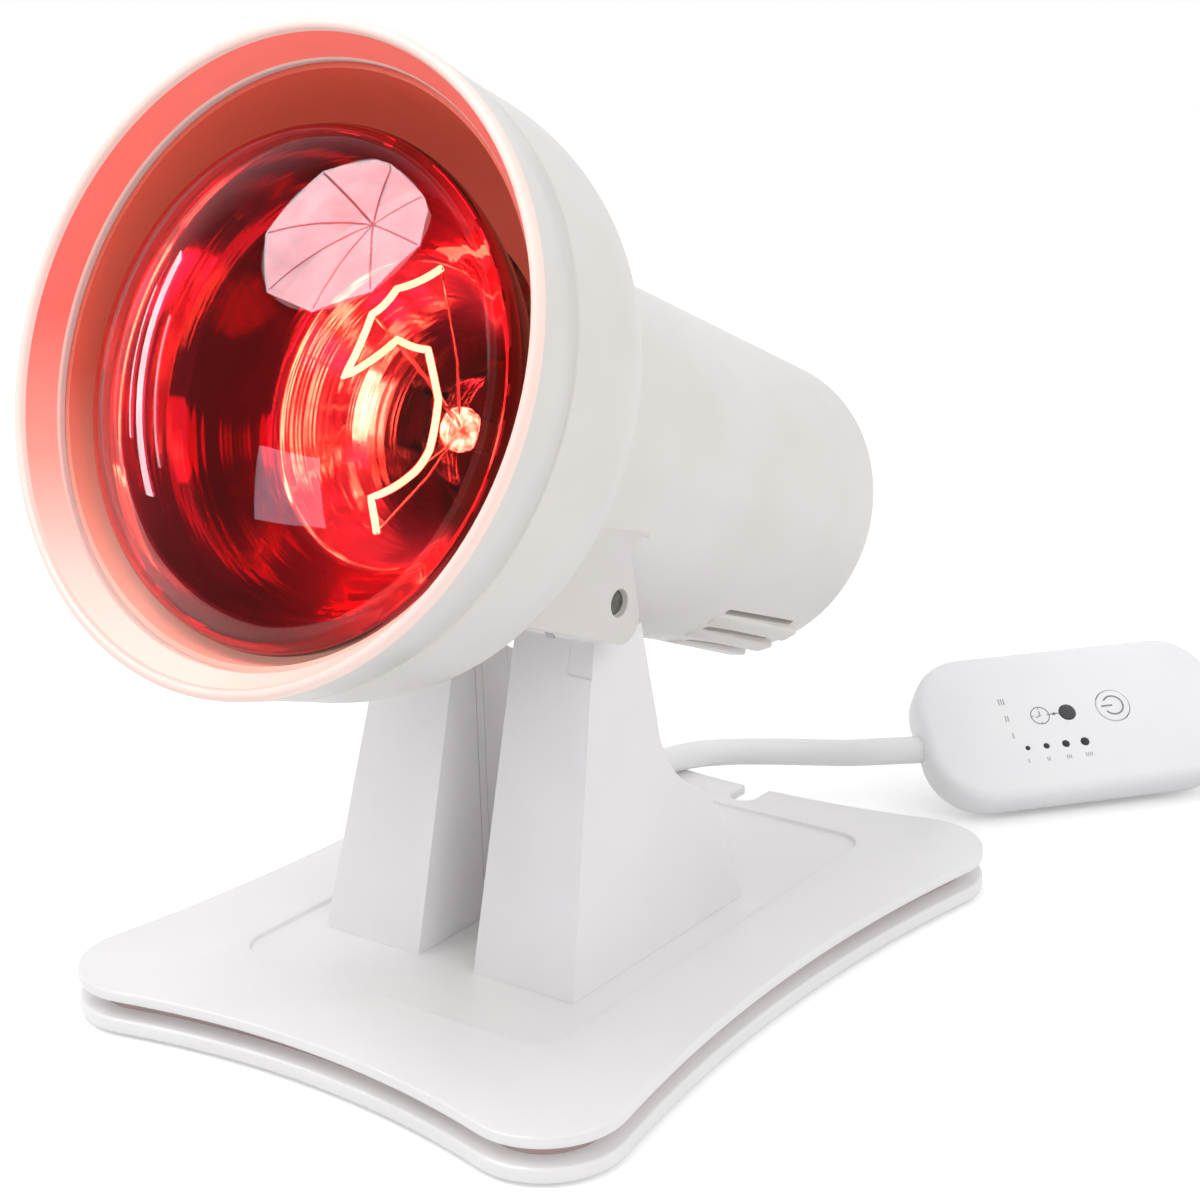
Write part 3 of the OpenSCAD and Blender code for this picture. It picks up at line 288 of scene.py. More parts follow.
# ---- sizes, in millimetres ----
PIN_Y, PIN_Z, AXIS_H, HEAD_TILT = -18.7, 86.9, 28.9, 22.2
TILT_UP = 13
BASE_W, BASE_D, CORNER_R, SAG = 132, 166, 16, 6.2
TRAY_Z, GROOVE_Z, COVER_Z, TOP_Z, PANEL_Z = 0.6, 3.8, 7.6, 10.0, 9.0
PANEL_W, PANEL_D, PANEL_R, PANEL_Y = 80, 118.5, 6.5, 5.25
NOTCH_W, NOTCH_Y = 6.5, 68
GROOVE_DEPTH, GROOVE_WALL = 5, 2.5
FEET_X, FEET_Y = 49, 66
KNUCKLE_R, CALF_Y, CALF_Z, CALF_R = 5.5, 21, 56, 20
LEG_FRONT_Y, LEG_HEEL_Y, NECK_Y, NECK_X = -35.2, 25, -17.6, 25
BODY_ROOM, LEG_EDGE, COVER_DEPTH, SEAM_DEPTH = 1, 2.6, 1.2, 0.35
HOOD_MOUTH_S, RIM_REAR_S = 62.45, 62.55
INNER_X, FOOT_X, SHOULDER_X, SHOULDER_Z = 7.2, 32.3, 26.3, 77
HOOD_REAR_S, BODY_FRONT_R, BODY_REAR_R, BODY_REAR_S = 34.75, 38.1, 33.4, 94
CHEEK_X, CHEEK_T, PIN_R, PIN_HOLE_R = 33.7, 3.2, 2.5, 2.75
HAND_L, HAND_W, HAND_T, HAND_R = 78, 39, 11, 14
HAND_TILT, HAND_TURN = math.radians(40), math.radians(50)
LEAD_R, LEAD_FINENESS = 3.25, 5
LEAD_Y, LEAD_Z = -1.5, -6
HOLDER_S, BRACKET_H, BULB_SAG = -57, 18, math.radians(1.7)

pin_place = shift(0, PIN_Y, PIN_Z) @ turned(-HEAD_TILT, "X")
axis_place = pin_place @ shift(0, 0, AXIS_H) @ turned(90, "X")
hang_place = (pin_place @ shift(0, -HOLDER_S - BRACKET_H / 2 * math.sin(BULB_SAG), AXIS_H)
              @ Matrix.Rotation(BULB_SAG, 4, "X") @ shift(0, HOLDER_S, 0))
bulb_place = hang_place @ turned(90, "X")
hand_c = Vector((57.6, 134.7, HAND_W / 2 * math.sin(HAND_TILT) + HAND_T * math.cos(HAND_TILT)))
hand_place = shift(*hand_c) @ Matrix.Rotation(HAND_TURN, 4, "Z") @ Matrix.Rotation(HAND_TILT, 4, "X")


def cone_r(s):
    """The body's radius, s before the pin."""
    return BODY_FRONT_R - (BODY_FRONT_R - BODY_REAR_R) / (HOOD_REAR_S + BODY_REAR_S) * (HOOD_REAR_S - s)


# ---- finishes ----
def srgb(r, g, b):
    """A colour as it is seen, 0 to 255, in the renderer's own scale."""
    def line(c):
        c /= 255
        return c / 12.92 if c <= 0.04045 else ((c + 0.055) / 1.055) ** 2.4
    return (line(r), line(g), line(b), 1)


def new_finish(name):
    """A new material, its node tree and its shader."""
    finish = bpy.data.materials.new(name)
    finish.use_nodes = True
    tree = finish.node_tree
    return finish, tree, tree.nodes["Principled BSDF"]


def give(node, values):
    """Sets a node's inputs by name, each to a constant or to another node's output."""
    for name, value in values.items():
        if isinstance(value, bpy.types.NodeSocket):
            node.id_data.links.new(value, node.inputs[name])
        else:
            node.inputs[name].default_value = value


def own_place(tree):
    """The piece's own coordinates."""
    return tree.nodes.new("ShaderNodeTexCoord").outputs["Object"]


def grain(tree, scale, detail=3.0, stretch=None):
    """Noise that sits in the piece's own coordinates."""
    source = own_place(tree)
    if stretch:
        turn = tree.nodes.new("ShaderNodeMapping")
        give(turn, {"Scale": stretch, "Vector": source})
        source = turn.outputs["Vector"]
    noise = tree.nodes.new("ShaderNodeTexNoise")
    give(noise, {"Scale": scale, "Detail": detail, "Vector": source})
    return noise.outputs["Fac"]


def shades(tree, source, *stops):
    """A row of colours along a value: (position, colour)."""
    ramp = tree.nodes.new("ShaderNodeValToRGB")
    row = ramp.color_ramp.elements
    while len(row) < len(stops):
        row.new(0.5)
    for stop, (position, colour) in zip(row, stops):
        stop.position = position
        stop.color = colour
    tree.links.new(source, ramp.inputs["Fac"])
    return ramp.outputs["Color"]


def ranged(tree, source, low, high, start=0, end=1, easing="LINEAR"):
    """Low where the source is at its start, high at its end; either may be another node's output."""
    scale = tree.nodes.new("ShaderNodeMapRange")
    scale.interpolation_type = easing
    give(scale, {"Value": source, "From Min": start, "From Max": end, "To Min": low, "To Max": high})
    return scale.outputs["Result"]


def spread(tree, noise, low, high):
    """Noise turned into a range of values."""
    return ranged(tree, noise, low, high, 0.3, 0.7)


def cloudy(tree, noise, dark, light):
    """Noise turned into a shade between two colours."""
    return shades(tree, noise, (0.3, dark), (0.7, light))


def relief(tree, shader, source, depth):
    """Tiny bumps of that depth in millimetres."""
    bump = tree.nodes.new("ShaderNodeBump")
    give(bump, {"Distance": depth * MM, "Strength": 0.6, "Height": source})
    give(shader, {"Normal": bump.outputs["Normal"]})


def moulded(name, dark, light, gloss=(0.34, 0.46), texture=1400, depth=0.02):
    """Moulded plastic: faint cloudy shade, fine spark texture, uneven gloss. Colours are as seen, 0 to 255."""
    finish, tree, shader = new_finish(name)
    give(shader, {"Base Color": cloudy(tree, grain(tree, 26), srgb(*dark), srgb(*light)),
                  "Roughness": spread(tree, grain(tree, 120), *gloss), "IOR": 1.48})
    relief(tree, shader, grain(tree, texture, 2), depth)
    return finish


def metal(name, dark, light, gloss=(0.25, 0.4), stretch=(1, 1, 1), scale=300):
    """Bare metal with a fine grain, which stretch can draw out into brushing."""
    finish, tree, shader = new_finish(name)
    brushed = grain(tree, scale, 4, stretch)
    give(shader, {"Base Color": cloudy(tree, brushed, srgb(*dark), srgb(*light)),
                  "Roughness": spread(tree, brushed, *gloss), "Metallic": 1})
    relief(tree, shader, brushed, 0.01)
    return finish


stand_plastic = moulded("stand_plastic", (238, 235, 236), (243, 240, 241))
base_plastic = moulded("base_plastic", (243, 241, 242), (247, 246, 246), gloss=(0.3, 0.42))
head_plastic = moulded("head_plastic", (226, 222, 218), (232, 228, 225), gloss=(0.3, 0.42))
cheek_plastic = moulded("cheek_plastic", (216, 212, 208), (223, 218, 215), gloss=(0.3, 0.42))
control_plastic = moulded("control_plastic", (241, 241, 244), (246, 246, 248), gloss=(0.36, 0.5), texture=2200)
key_plastic = moulded("key_plastic", (240, 240, 243), (246, 246, 248), gloss=(0.4, 0.5))
lead_pvc = moulded("lead_pvc", (243, 243, 243), (250, 250, 250), gloss=(0.38, 0.55), texture=600, depth=0.03)
plug_plastic = moulded("plug_plastic", (232, 232, 234), (241, 241, 242), gloss=(0.35, 0.5))
dark_key = moulded("dark_key", (58, 58, 61), (76, 76, 80), gloss=(0.35, 0.5))
print_ink = moulded("print_ink", (122, 122, 128), (140, 140, 146), gloss=(0.5, 0.6))
pale_ink = moulded("pale_ink", (158, 158, 164), (176, 176, 182), gloss=(0.5, 0.6))
lens_plastic = moulded("lens_plastic", (38, 38, 41), (56, 56, 60), gloss=(0.15, 0.25))
foot_rubber = moulded("foot_rubber", (84, 82, 80), (104, 101, 98), gloss=(0.7, 0.85), texture=900, depth=0.05)
tie_plastic = moulded("tie_plastic", (34, 34, 36), (52, 52, 55), gloss=(0.5, 0.65))
porcelain = moulded("porcelain", (232, 227, 217), (244, 240, 232), gloss=(0.15, 0.3), texture=300)
board_resin = moulded("board_resin", (34, 88, 60), (52, 112, 78), gloss=(0.35, 0.5))
insulator_glass = moulded("insulator_glass", (24, 22, 22), (44, 41, 41), gloss=(0.2, 0.3))
screw_steel = metal("screw_steel", (150, 150, 152), (190, 190, 192))
sheet_steel = metal("sheet_steel", (158, 159, 161), (196, 197, 199), stretch=(1, 9, 1))
pin_steel = metal("pin_steel", (92, 90, 86), (136, 133, 128), gloss=(0.5, 0.7), scale=900)
# Darker and pinker than the base: painted shade for the groove's wall.
groove_painted_shade = moulded("groove_painted_shade", (190, 166, 164), (202, 180, 178), gloss=(0.5, 0.65))
brass = metal("brass", (190, 150, 78), (216, 180, 108))
nickel = metal("nickel", (196, 190, 180), (222, 217, 208), gloss=(0.12, 0.25))
cap_metal = metal("cap_metal", (186, 182, 174), (212, 208, 200), gloss=(0.2, 0.35))

# ---- leads ----
# The control's own directions: along it, across its face towards the far side, and out of its face
along = Vector((math.cos(HAND_TURN), math.sin(HAND_TURN), 0))
away = Vector((-math.sin(HAND_TURN) * math.cos(HAND_TILT), math.cos(HAND_TURN) * math.cos(HAND_TILT),
               math.sin(HAND_TILT)))
outward = along.cross(away)


def on_end(side, reach):
    """A point on the line of both leads, reach mm to the right of the control's left (-1) or right (1) end."""
    return hand_c + (side * HAND_L / 2 + reach) * along + LEAD_Y * away + LEAD_Z * outward


def eased(points, steps):
    """More points on a smooth line through the ones given."""
    line = []
    ends = [2 * points[0] - points[1], *points, 2 * points[-1] - points[-2]]
    for a, b, c, d in zip(ends, ends[1:], ends[2:], ends[3:]):
        for i in range(steps):
            t = i / steps
            line.append(0.5 * (2 * b + (c - a) * t + (2 * a - 5 * b + 4 * c - d) * t * t
                               + (3 * b - a - 3 * c + d) * t ** 3))
    return [*line, points[-1]]


lead_route = [Vector(p) for p in (
    (-20, 18.5, 18.6), (-20, 34, 18.6), (-20, 46, 18.6), (-20, 51, 18), (-20.1, 57, 16.6), (-20.2, 63, 14.9),
    (-20, 69, 13.8), (-18.4, 75, 13.5), (-15, 80.4, 13.5), (-9.6, 86.8, 13.1), (-2.5, 92.6, 12.7),
    (5.5, 96.9, 12.8), (14, 99.6, 13.5), (21, 101.6, 14.6))] + [on_end(-1, 1.5)]
lamp_lead_line = eased(lead_route, 4)

COIL_IN_R, COIL_TURNS, COIL_STEP, COIL_Z, LOOP_RINGS, CLIMB = 26, 3.6, 6.95, 4.4, 24, 0.5
COIL_OUT_R = COIL_IN_R + COIL_TURNS * COIL_STEP
RUN_OUT, RAMP_TURN, RAMP_STEPS, TAIL_L, TAIL_STEPS, PLUG_T, PIN_SPACING = 44, 60, 8, 44, 6, 14, 18.6
right_hand = Vector((math.sin(HAND_TURN), -math.cos(HAND_TURN), 0))
coil_c = on_end(1, RUN_OUT) + COIL_OUT_R * right_hand
coil_start = math.radians(90 - RAMP_TURN) + HAND_TURN
ramp_drop = on_end(1, 0).z - COIL_Z - COIL_STEP
coil_rings = int(2 * COIL_TURNS * LOOP_RINGS)


def ramp_point(i):
    """A point where the lead comes down from the control and swings on to the coil."""
    share = i / RAMP_STEPS
    a = math.radians(90 - RAMP_TURN * share) + HAND_TURN
    return Vector((coil_c.x + COIL_OUT_R * math.cos(a), coil_c.y + COIL_OUT_R * math.sin(a),
                   on_end(1, 0).z - ramp_drop * (1 - math.cos(math.pi * share)) / 2))


def coil_point(i):
    """A point on the coil, which winds in on its upper layer and out again on the table."""
    n = i / LOOP_RINGS
    lift = 1 - min(1, max(0, (n - COIL_TURNS + CLIMB / 2) / CLIMB))
    r = COIL_IN_R + COIL_STEP * abs(n - COIL_TURNS)
    a = coil_start - 2 * math.pi * n
    return Vector((coil_c.x + r * math.cos(a), coil_c.y + r * math.sin(a), COIL_Z + COIL_STEP * lift))


end_turn = coil_start - 2 * math.pi * coil_rings / LOOP_RINGS
tail_dir = Vector((math.sin(end_turn), -math.cos(end_turn), 0))
coil_end = coil_point(coil_rings)
tail = [coil_end + tail_dir * (TAIL_L * i / TAIL_STEPS)
        + Vector((0, 0, (PLUG_T / 2 - coil_end.z) * (1 - math.cos(math.pi * i / TAIL_STEPS)) / 2))
        for i in range(1, TAIL_STEPS + 1)]
mains_line = eased([on_end(1, 0.2), on_end(1, 12), on_end(1, 26), on_end(1, 36)]
                   + [ramp_point(i) for i in range(RAMP_STEPS)]
                   + [coil_point(i) for i in range(coil_rings + 1)] + tail, 3)
plug_place = (shift(coil_end.x, coil_end.y, PLUG_T / 2) @ shift(*(tail_dir * TAIL_L))
              @ Matrix.Rotation(end_turn - math.radians(90), 4, "Z"))


def plug():
    """A two-pin plug: a narrow neck that swells to a flat grip."""
    body = slab([(0, -5.5), (2, -5.6), (9, -9), (14, -14), (17, -16.4), (19, -17), (34, -17),
                 (34, 17), (19, 17), (17, 16.4), (14, 14), (9, 9), (2, 5.6), (0, 5.5)], PLUG_T)
    place(body, shift(0, 0, -PLUG_T / 2))
    for corner in body.data.vertices:
        x = corner.co.x / MM
        corner.co.z *= min(1.0, 5 / 7 + (2 / 7) * max(0.0, x - 2) / 15)
    soften(body, 1.6, 4, 40)
    return place(body, plug_place)


def plug_pin(side):
    """A round pin with a blunt tip."""
    return spun([(2, 33.5), (2, 51.6), (1.4, 52.7), (0, 53)],
                plug_place @ shift(0, side * PIN_SPACING / 2, 0) @ turned(90, "Y"), 50, 40, closed=False)


def tie():
    """A flat strap round the coil, with its loop closed."""
    t, gap, w = 0.8, 0.35, 7
    low, high = COIL_IN_R - LEAD_R - gap - t, COIL_OUT_R + LEAD_R + gap + t
    top = 2 * LEAD_R + COIL_STEP + 2 * gap + 2 * t
    strap = slab([(low, 0), (high, 0), (high, top), (low, top)], w)
    hole = slab([(low + t, t), (high - t, t), (high - t, top - t), (low + t, top - t)], 3 * w)
    place(hole, shift(0, 0, -w))
    cut(strap, hole)
    soften(strap, 0.3, 2)
    turn = coil_start + math.radians(150)
    return place(strap, shift(coil_c.x, coil_c.y, 0) @ Matrix.Rotation(turn, 4, "Z")
                 @ shift(0, w / 2, 0) @ turned(90, "X"))


def strain_relief(where, low_r, high_r, length, neck):
    """A tapered sleeve with grooves across it, as on a real sleeve that bends with the lead."""
    profile = [(LEAD_R + 0.06, 0), (low_r, 0), (low_r, neck)]
    ribs = 6
    for i in range(ribs):
        share0, share1 = (i + 0.25) / ribs, (i + 0.8) / ribs
        r0, r1 = (low_r + (high_r - low_r) * s for s in (share0, share1))
        z0, z1 = (neck + (length - neck) * s for s in (share0, share1))
        profile += [(r0, z0), (r1, z1), (r1 - 0.45, z1 + 0.25), (r1 - 0.5, z1 + (length - neck) / ribs * 0.3)]
    profile += [(high_r, length - 0.4), (high_r - 0.25, length), (LEAD_R + 0.06, length)]
    return spun(profile, where, 40, 64)


mains_lead = drawn_line("mains_lead_run", mains_line, LEAD_R, LEAD_FINENESS)
finished(mains_lead, "mains_lead_run", "stand", lead_pvc, "mains_lead", "mains_coil", "mains_tail")
lamp_lead = drawn_line("lamp_lead_run", lamp_lead_line, LEAD_R, LEAD_FINENESS)
finished(lamp_lead, "lamp_lead_run", "stand", lead_pvc, "lead_to_control")
plug_piece = finished(plug(), "plug_moulding", "stand", plug_plastic, "plug_body")
pins = joined(plug_pin(-1), plug_pin(1))
pins_piece = finished(pins, "plug_contacts", "stand", nickel, "plug_pins")
tie_piece = finished(tie(), "coil_strap", "stand", tie_plastic, "cord_tie")
lamp_relief = strain_relief(shift(-20, 18, 18.6) @ turned(-90, "X"), 4.8, 3.85, 29, 7.5)
finished(lamp_relief, "lamp_lead_sleeve", "stand", lead_pvc, "lamp_strain_relief")
mains_relief = strain_relief(hand_place @ shift(HAND_L / 2 + 0.1, LEAD_Y, LEAD_Z) @ turned(90, "Y"),
                             4.6, 3.85, 25, 2.4)
finished(mains_relief, "mains_lead_sleeve", "stand", lead_pvc, "mains_strain_relief")


# ---- base ----
corner_x, corner_y = BASE_W / 2 - CORNER_R, BASE_D / 2 - CORNER_R


def side_radius(half):
    """The radius of a side that curves in by SAG over twice the half length."""
    return (half * half + SAG * SAG) / (2 * SAG) - CORNER_R


side_x, side_y = side_radius(corner_y), side_radius(corner_x)
centre_x, centre_y = BASE_W / 2 - SAG + side_x, BASE_D / 2 - SAG + side_y
turn_x = math.degrees(math.atan2(corner_y, centre_x - corner_x))
turn_y = math.degrees(math.atan2(corner_x, centre_y - corner_y))


def base_outline(inset):
    """Rounded corners joined by sides that curve in."""
    quarter = (arc(centre_x, 0, side_x + inset, 180, 180 - turn_x, 16)
               + arc(corner_x, corner_y, CORNER_R - inset, -turn_x, 90 + turn_y, 24)[1:-1]
               + arc(0, centre_y, side_y + inset, turn_y - 90, -90, 16))
    over = quarter[-2:0:-1]
    return (quarter + [(-x, y) for x, y in over] + [(-x, -y) for x, y in quarter] + [(x, -y) for x, y in over])


def notch_cutter():
    """The notch for the lead at the base's rear edge, round at its inner end."""
    w, y = NOTCH_W, NOTCH_Y
    outline = [(0, BASE_D), (0, y + w / 2)] + arc(w / 2, y + w / 2, w / 2, 180, 360, 16)[1:] + [(w, BASE_D)]
    return place(slab(outline, 30), shift(0, 0, -5))


def cover_plate():
    """The base's top, with its sunk panel."""
    cover = place(slab(base_outline(0), TOP_Z - COVER_Z), shift(0, 0, COVER_Z))
    panel = slab(rounded_rectangle(PANEL_W, PANEL_D, PANEL_R), TOP_Z)
    place(panel, shift(0, PANEL_Y, PANEL_Z))
    cut(cover, panel, notch_cutter())
    return soften(cover, 0.45, 3)


def tray():
    """The base's bottom, with the wall that stands back under the cover as a groove."""
    floor_plate = place(slab(base_outline(0), GROOVE_Z - TRAY_Z), shift(0, 0, TRAY_Z))
    cut(floor_plate, notch_cutter())
    soften(floor_plate, 0.7, 4)
    wall = place(slab(base_outline(GROOVE_DEPTH), COVER_Z - GROOVE_Z + 0.2), shift(0, 0, GROOVE_Z - 0.1))
    hollow = place(slab(base_outline(GROOVE_DEPTH + GROOVE_WALL), 20), shift(0, 0, -5))
    cut(wall, hollow, notch_cutter())
    smooth(wall)
    return joined(floor_plate, wall)


finished(cover_plate(), "base_cover_plate", "stand", base_plastic, "base_cover")
tray_piece = finished(tray(), "base_tray_plate", "stand", base_plastic, "base_tray")
# The groove's wall gets the painted shade.
repaint(tray_piece, groove_painted_shade, lambda face: face.center.z > GROOVE_Z * MM and abs(face.normal.z) < 0.5)


def foot(x, y):
    """A rubber foot, hollow in its middle."""
    pad = [(6, 1.6), (6, 0.35), (5.65, 0), (3.2, 0), (2.6, 0.4), (0, 0.4)]
    return spun(pad, shift(x, y, 0), steps=64, closed=False)


feet = [foot(x, y) for x in (-FEET_X, FEET_X) for y in (-FEET_Y, FEET_Y)]
finished(joined(*feet), "feet", "stand", foot_rubber, "rubber_feet")


# ---- legs ----
def leg_outline():
    """A leg from the side: straight front, heel, hollow calf, and a neck up to the knuckle on the pin."""
    calf = arc(CALF_Y, CALF_Z, CALF_R, 250, 180, 20)
    knuckle = arc(PIN_Y, PIN_Z, KNUCKLE_R, -10, 195, 28)
    return ([(LEG_FRONT_Y, PANEL_Z), (LEG_HEEL_Y, PANEL_Z), (19.8, 29.8)] + calf + [(-1.4, SHOULDER_Z), (-11, 75.5)]
            + knuckle + [(NECK_Y - 6.3, 84.6), (NECK_Y, SHOULDER_Z)])


def along_x(outline, x0, x1):
    """A side outline [depth, height] drawn out along X."""
    piece = slab(outline, x1 - x0)
    turn = Matrix(((0, 0, 1, x0 * MM), (1, 0, 0, 0), (0, 1, 0, 0), (0, 0, 0, 1)))
    return tidy(place(piece, turn))


def leg():
    """The right leg: it leans in towards its shoulder, and makes room for the body when the head tilts up."""
    piece = along_x(leg_outline(), INNER_X, FOOT_X)
    lean = (FOOT_X - SHOULDER_X) / (SHOULDER_Z - PANEL_Z)
    for corner in piece.data.vertices:
        if corner.co.x > (INNER_X + FOOT_X) / 2 * MM:
            corner.co.x = max(FOOT_X - lean * (corner.co.z / MM - PANEL_Z), NECK_X) * MM
    scoop = capped(lathe([(BODY_REAR_R + BODY_ROOM, -BODY_REAR_S), (cone_r(-KNUCKLE_R) + BODY_ROOM, -KNUCKLE_R)],
                         closed=False))
    place(scoop, shift(0, PIN_Y, PIN_Z) @ turned(-HEAD_TILT - TILT_UP, "X") @ shift(0, 0, AXIS_H) @ turned(90, "X"))
    cut(piece, scoop)
    soften(piece, 0.7, 3)
    window = ([(-11, 14), (21.2, 14), (17.7, 28.8)] + arc(CALF_Y, CALF_Z, CALF_R + LEG_EDGE, 250, 180, 20)
              + [(-2.9, 67), (-11, 67)])
    cut(piece, along_x(window, INNER_X - 2, INNER_X + COVER_DEPTH))
    cut(piece, along_x([(-13.4, 13.4), (-13.1, 13.4), (-13.1, 67.6), (-13.4, 67.6)], INNER_X - 2, INNER_X + SEAM_DEPTH))
    return smooth(piece)


right_leg = leg()
left_leg = mirrored(right_leg, "leg_left")
front_lean = math.atan2(-NECK_Y, SHOULDER_Z - PANEL_Z)
front_seat = slab(rounded_rectangle(12, 7.4, 0.8, 4), 1)
place(front_seat, shift(26.9, -18.5, 73.8) @ Matrix.Rotation(math.radians(90) - front_lean, 4, "X")
      @ shift(0, 0, -SEAM_DEPTH))
cut(right_leg, front_seat)
smooth(right_leg)
finished(right_leg, "leg_right", "stand", stand_plastic, "leg_shell_right")
finished(left_leg, "leg_left", "stand", stand_plastic, "leg_shell_left")


# ---- head ----
def up_the_hood(tree):
    """0 at the hood's lowest point, 1 at its highest."""
    split = tree.nodes.new("ShaderNodeSeparateXYZ")
    give(split, {"Vector": own_place(tree)})
    return ranged(tree, split.outputs["Z"], 0, 1, 0.08, 0.19)


rim_profile = ([(58.4, RIM_REAR_S), (58.7, 62.9), (59.9, 73.6)] + arc(58.85, 74.3, 1.1, 10, 150, 10)
               + [(57.65, 74.2), (54.6, 69.2), (54.3, 68.7), (54.3, 67.5), (56.7, 64.5), (56.7, RIM_REAR_S)])


def painted_glow_lining(name, glow, *stops):
    """Plastic or tin with the bulb's red light painted on it: its colour is a painted red glow, with a faint painted
    emission, given from the hood's lowest point to its highest.
    """
    finish, tree, shader = new_finish(name)
    colour = shades(tree, up_the_hood(tree), *stops)
    give(shader, {"Base Color": colour, "Emission Color": colour, "Emission Strength": glow,
                  "Roughness": spread(tree, grain(tree, 120), 0.35, 0.5)})
    return finish, tree, shader


# The rim's inside: painted red glow, pale low down and redder higher up, with a faint painted emission.
rim_inside_painted_glow = painted_glow_lining("rim_inside_painted_glow", 0.3, (0.0, srgb(250, 240, 226)), (0.18, srgb(253, 218, 208)),
                        (0.36, srgb(255, 158, 144)), (0.58, srgb(254, 112, 102)), (1.0, srgb(250, 124, 112)))[0]
rim = finished(spun(rim_profile, axis_place), "hood_rim", "head", head_plastic, "front_rim")
# The rim's lip: a peach tint and a faint emission, a painted glow of the bulb's light in the plastic.
rim_lip_painted_glow, tree, shader = new_finish("rim_lip_painted_glow")
give(shader, {"Base Color": cloudy(tree, grain(tree, 26), srgb(246, 218, 208), srgb(250, 226, 217)),
              "Emission Color": (1, 0.7, 0.62, 1), "Emission Strength": 0.14,
              "Roughness": spread(tree, grain(tree, 120), 0.35, 0.5)})


def on_axis(face):
    """A face's distance from the hood's axis, and its distance before the pin, in millimetres."""
    spot = axis_place.inverted() @ face.center / MM
    return math.hypot(spot.x, spot.y), spot.z


def faces_bulb(face):
    """Whether a face of the rim looks in at the bulb."""
    r, s = on_axis(face)
    return r < 57.6 and s > 69.3


def on_lip(face):
    """Whether a face is on the rim's lip or its inner step."""
    r, s = on_axis(face)
    return not faces_bulb(face) and (s > 73.7 or r < 55 and s > 68.4)


repaint(rim, rim_inside_painted_glow, faces_bulb)
repaint(rim, rim_lip_painted_glow, on_lip)


def shoulder(wall):
    """The hood's round shoulder, its wall that much further in."""
    turns = [math.radians(90 * i / 20) for i in range(21)]
    return [(51.4 + 6.6 * math.sin(a) - wall, HOOD_REAR_S + 17 * (1 - math.cos(a))) for a in turns]


hood_profile = ([(36.1, HOOD_REAR_S), (50.9, HOOD_REAR_S), (51.3, 35.0)] + shoulder(0)[2:]
                + [(58.7, 62.1), (58.4, HOOD_MOUTH_S), (56.7, HOOD_MOUTH_S)]
                + shoulder(2)[:4:-1] + [(48.8, 36.75), (36.1, 36.75)])
finished(spun(hood_profile, axis_place), "hood_bell", "head", head_plastic, "hood_shell")

lining_outer = [(54.25, 67.45), (53.3, 60), (50.8, 50), (46.6, 42.5), (41, 38.2), (36.0, 36.95), (35.0, 29.75)]
lining_profile = lining_outer + [(34.0, 29.75), (35.0, 37.4), (40.2, 39.2), (45.6, 43.3), (49.8, 50.4), (52.2, 60.2),
                                 (53.2, 67.45)]
# The lining: painted red glow of the bulb's light, redder towards the top, with painted emission.
lining, tree, shader = painted_glow_lining("hood_lining", 0.42, (0.0, srgb(222, 150, 132)), (0.14, srgb(236, 182, 165)),
                                  (0.3, srgb(222, 142, 124)), (0.48, srgb(204, 92, 74)), (1.0, srgb(198, 80, 62)))
relief(tree, shader, grain(tree, 900, 2), 0.02)
finished(spun(lining_profile, axis_place, 60), "hood_lining", "head", lining, "heat_shield")


def across(outline, x0, x1):
    """A side outline [distance before the pin, height over it] drawn out across the head."""
    return place(along_x([(-s, h) for s, h in outline], x0, x1), pin_place)


def on_wall(angle, s):
    """A place on the body's wall: s before the pin, angle round from its lowest line."""
    return pin_place @ shift(0, 0, AXIS_H) @ turned(-angle, "Y") @ shift(0, -s, 0)


def vent_bar(angle, s0, s1, width, r_in, r_out, edge):
    """A bar along the wall, its ends and outer edges rounded."""
    y = s0 - s1 - width / 2
    corner = min(1.2, 0.45 * width)
    outline = (arc(0, width / 2, width / 2, 180, 360, 14)
               + arc(width / 2 - corner, y + width / 2 - corner, corner, 0, 90, 6)
               + arc(-width / 2 + corner, y + width / 2 - corner, corner, 90, 180, 6))
    bar = place(slab(outline, r_out - r_in), shift(0, 0, -r_in) @ turned(180, "Y"))
    if edge:
        soften(bar, edge, 3, 40)
    return place(bar, on_wall(angle, s0))


BODY_WALL, SLOT_W, SLOT_TURN, VENT_W, VENT_EDGE = 2, 1.7, 5.6, 4.6, 0.7
POCKET_R, POCKET_REAR, POCKET_FRONT, POCKET_KNEE, POCKET_LOW = 6.3, -14, 9.5, -5, -16
# Each vent on one side: angle from the body's lowest line, front end and rear end
VENTS = [(37, -54, -88), (25, -56, -89), (10.5, -63, -92)]


def lamp_body():
    """The body: a slim cone with a rounded end, vent slats low at its rear, open below for the legs."""
    profile = ([(BODY_FRONT_R, HOOD_REAR_S)] + [(cone_r(-s), -s) for s in (0, 45, 90)]
               + arc(29.5, -90, 4, 5, -90, 12)[1:] + [(15, -94), (0, -94)])
    shell = place(blown(lathe(profile, closed=False), BODY_WALL), axis_place)
    pocket = arc(0, 0, POCKET_R, 18.4, 161.6, 24) + [(POCKET_REAR, POCKET_KNEE), (POCKET_REAR, POCKET_LOW),
                                                     (POCKET_FRONT, POCKET_LOW), (POCKET_FRONT, POCKET_KNEE)]
    cut(shell, across(pocket, CHEEK_T - CHEEK_X, CHEEK_X - CHEEK_T))
    for side in (-1, 1):
        for angle, s0, s1 in VENTS:
            cut(shell, vent_bar(side * (angle + SLOT_TURN), s0 - 1, s1 + 4, SLOT_W, 26, 42, 0))
    smooth(shell)
    bars = [vent_bar(side * angle, s0, s1, VENT_W, 32, cone_r(s0) + 0.25, VENT_EDGE)
            for side in (-1, 1) for angle, s0, s1 in VENTS]
    return joined(shell, *bars)


finished(lamp_body(), "lamp_body", "head", head_plastic, "body_shell")


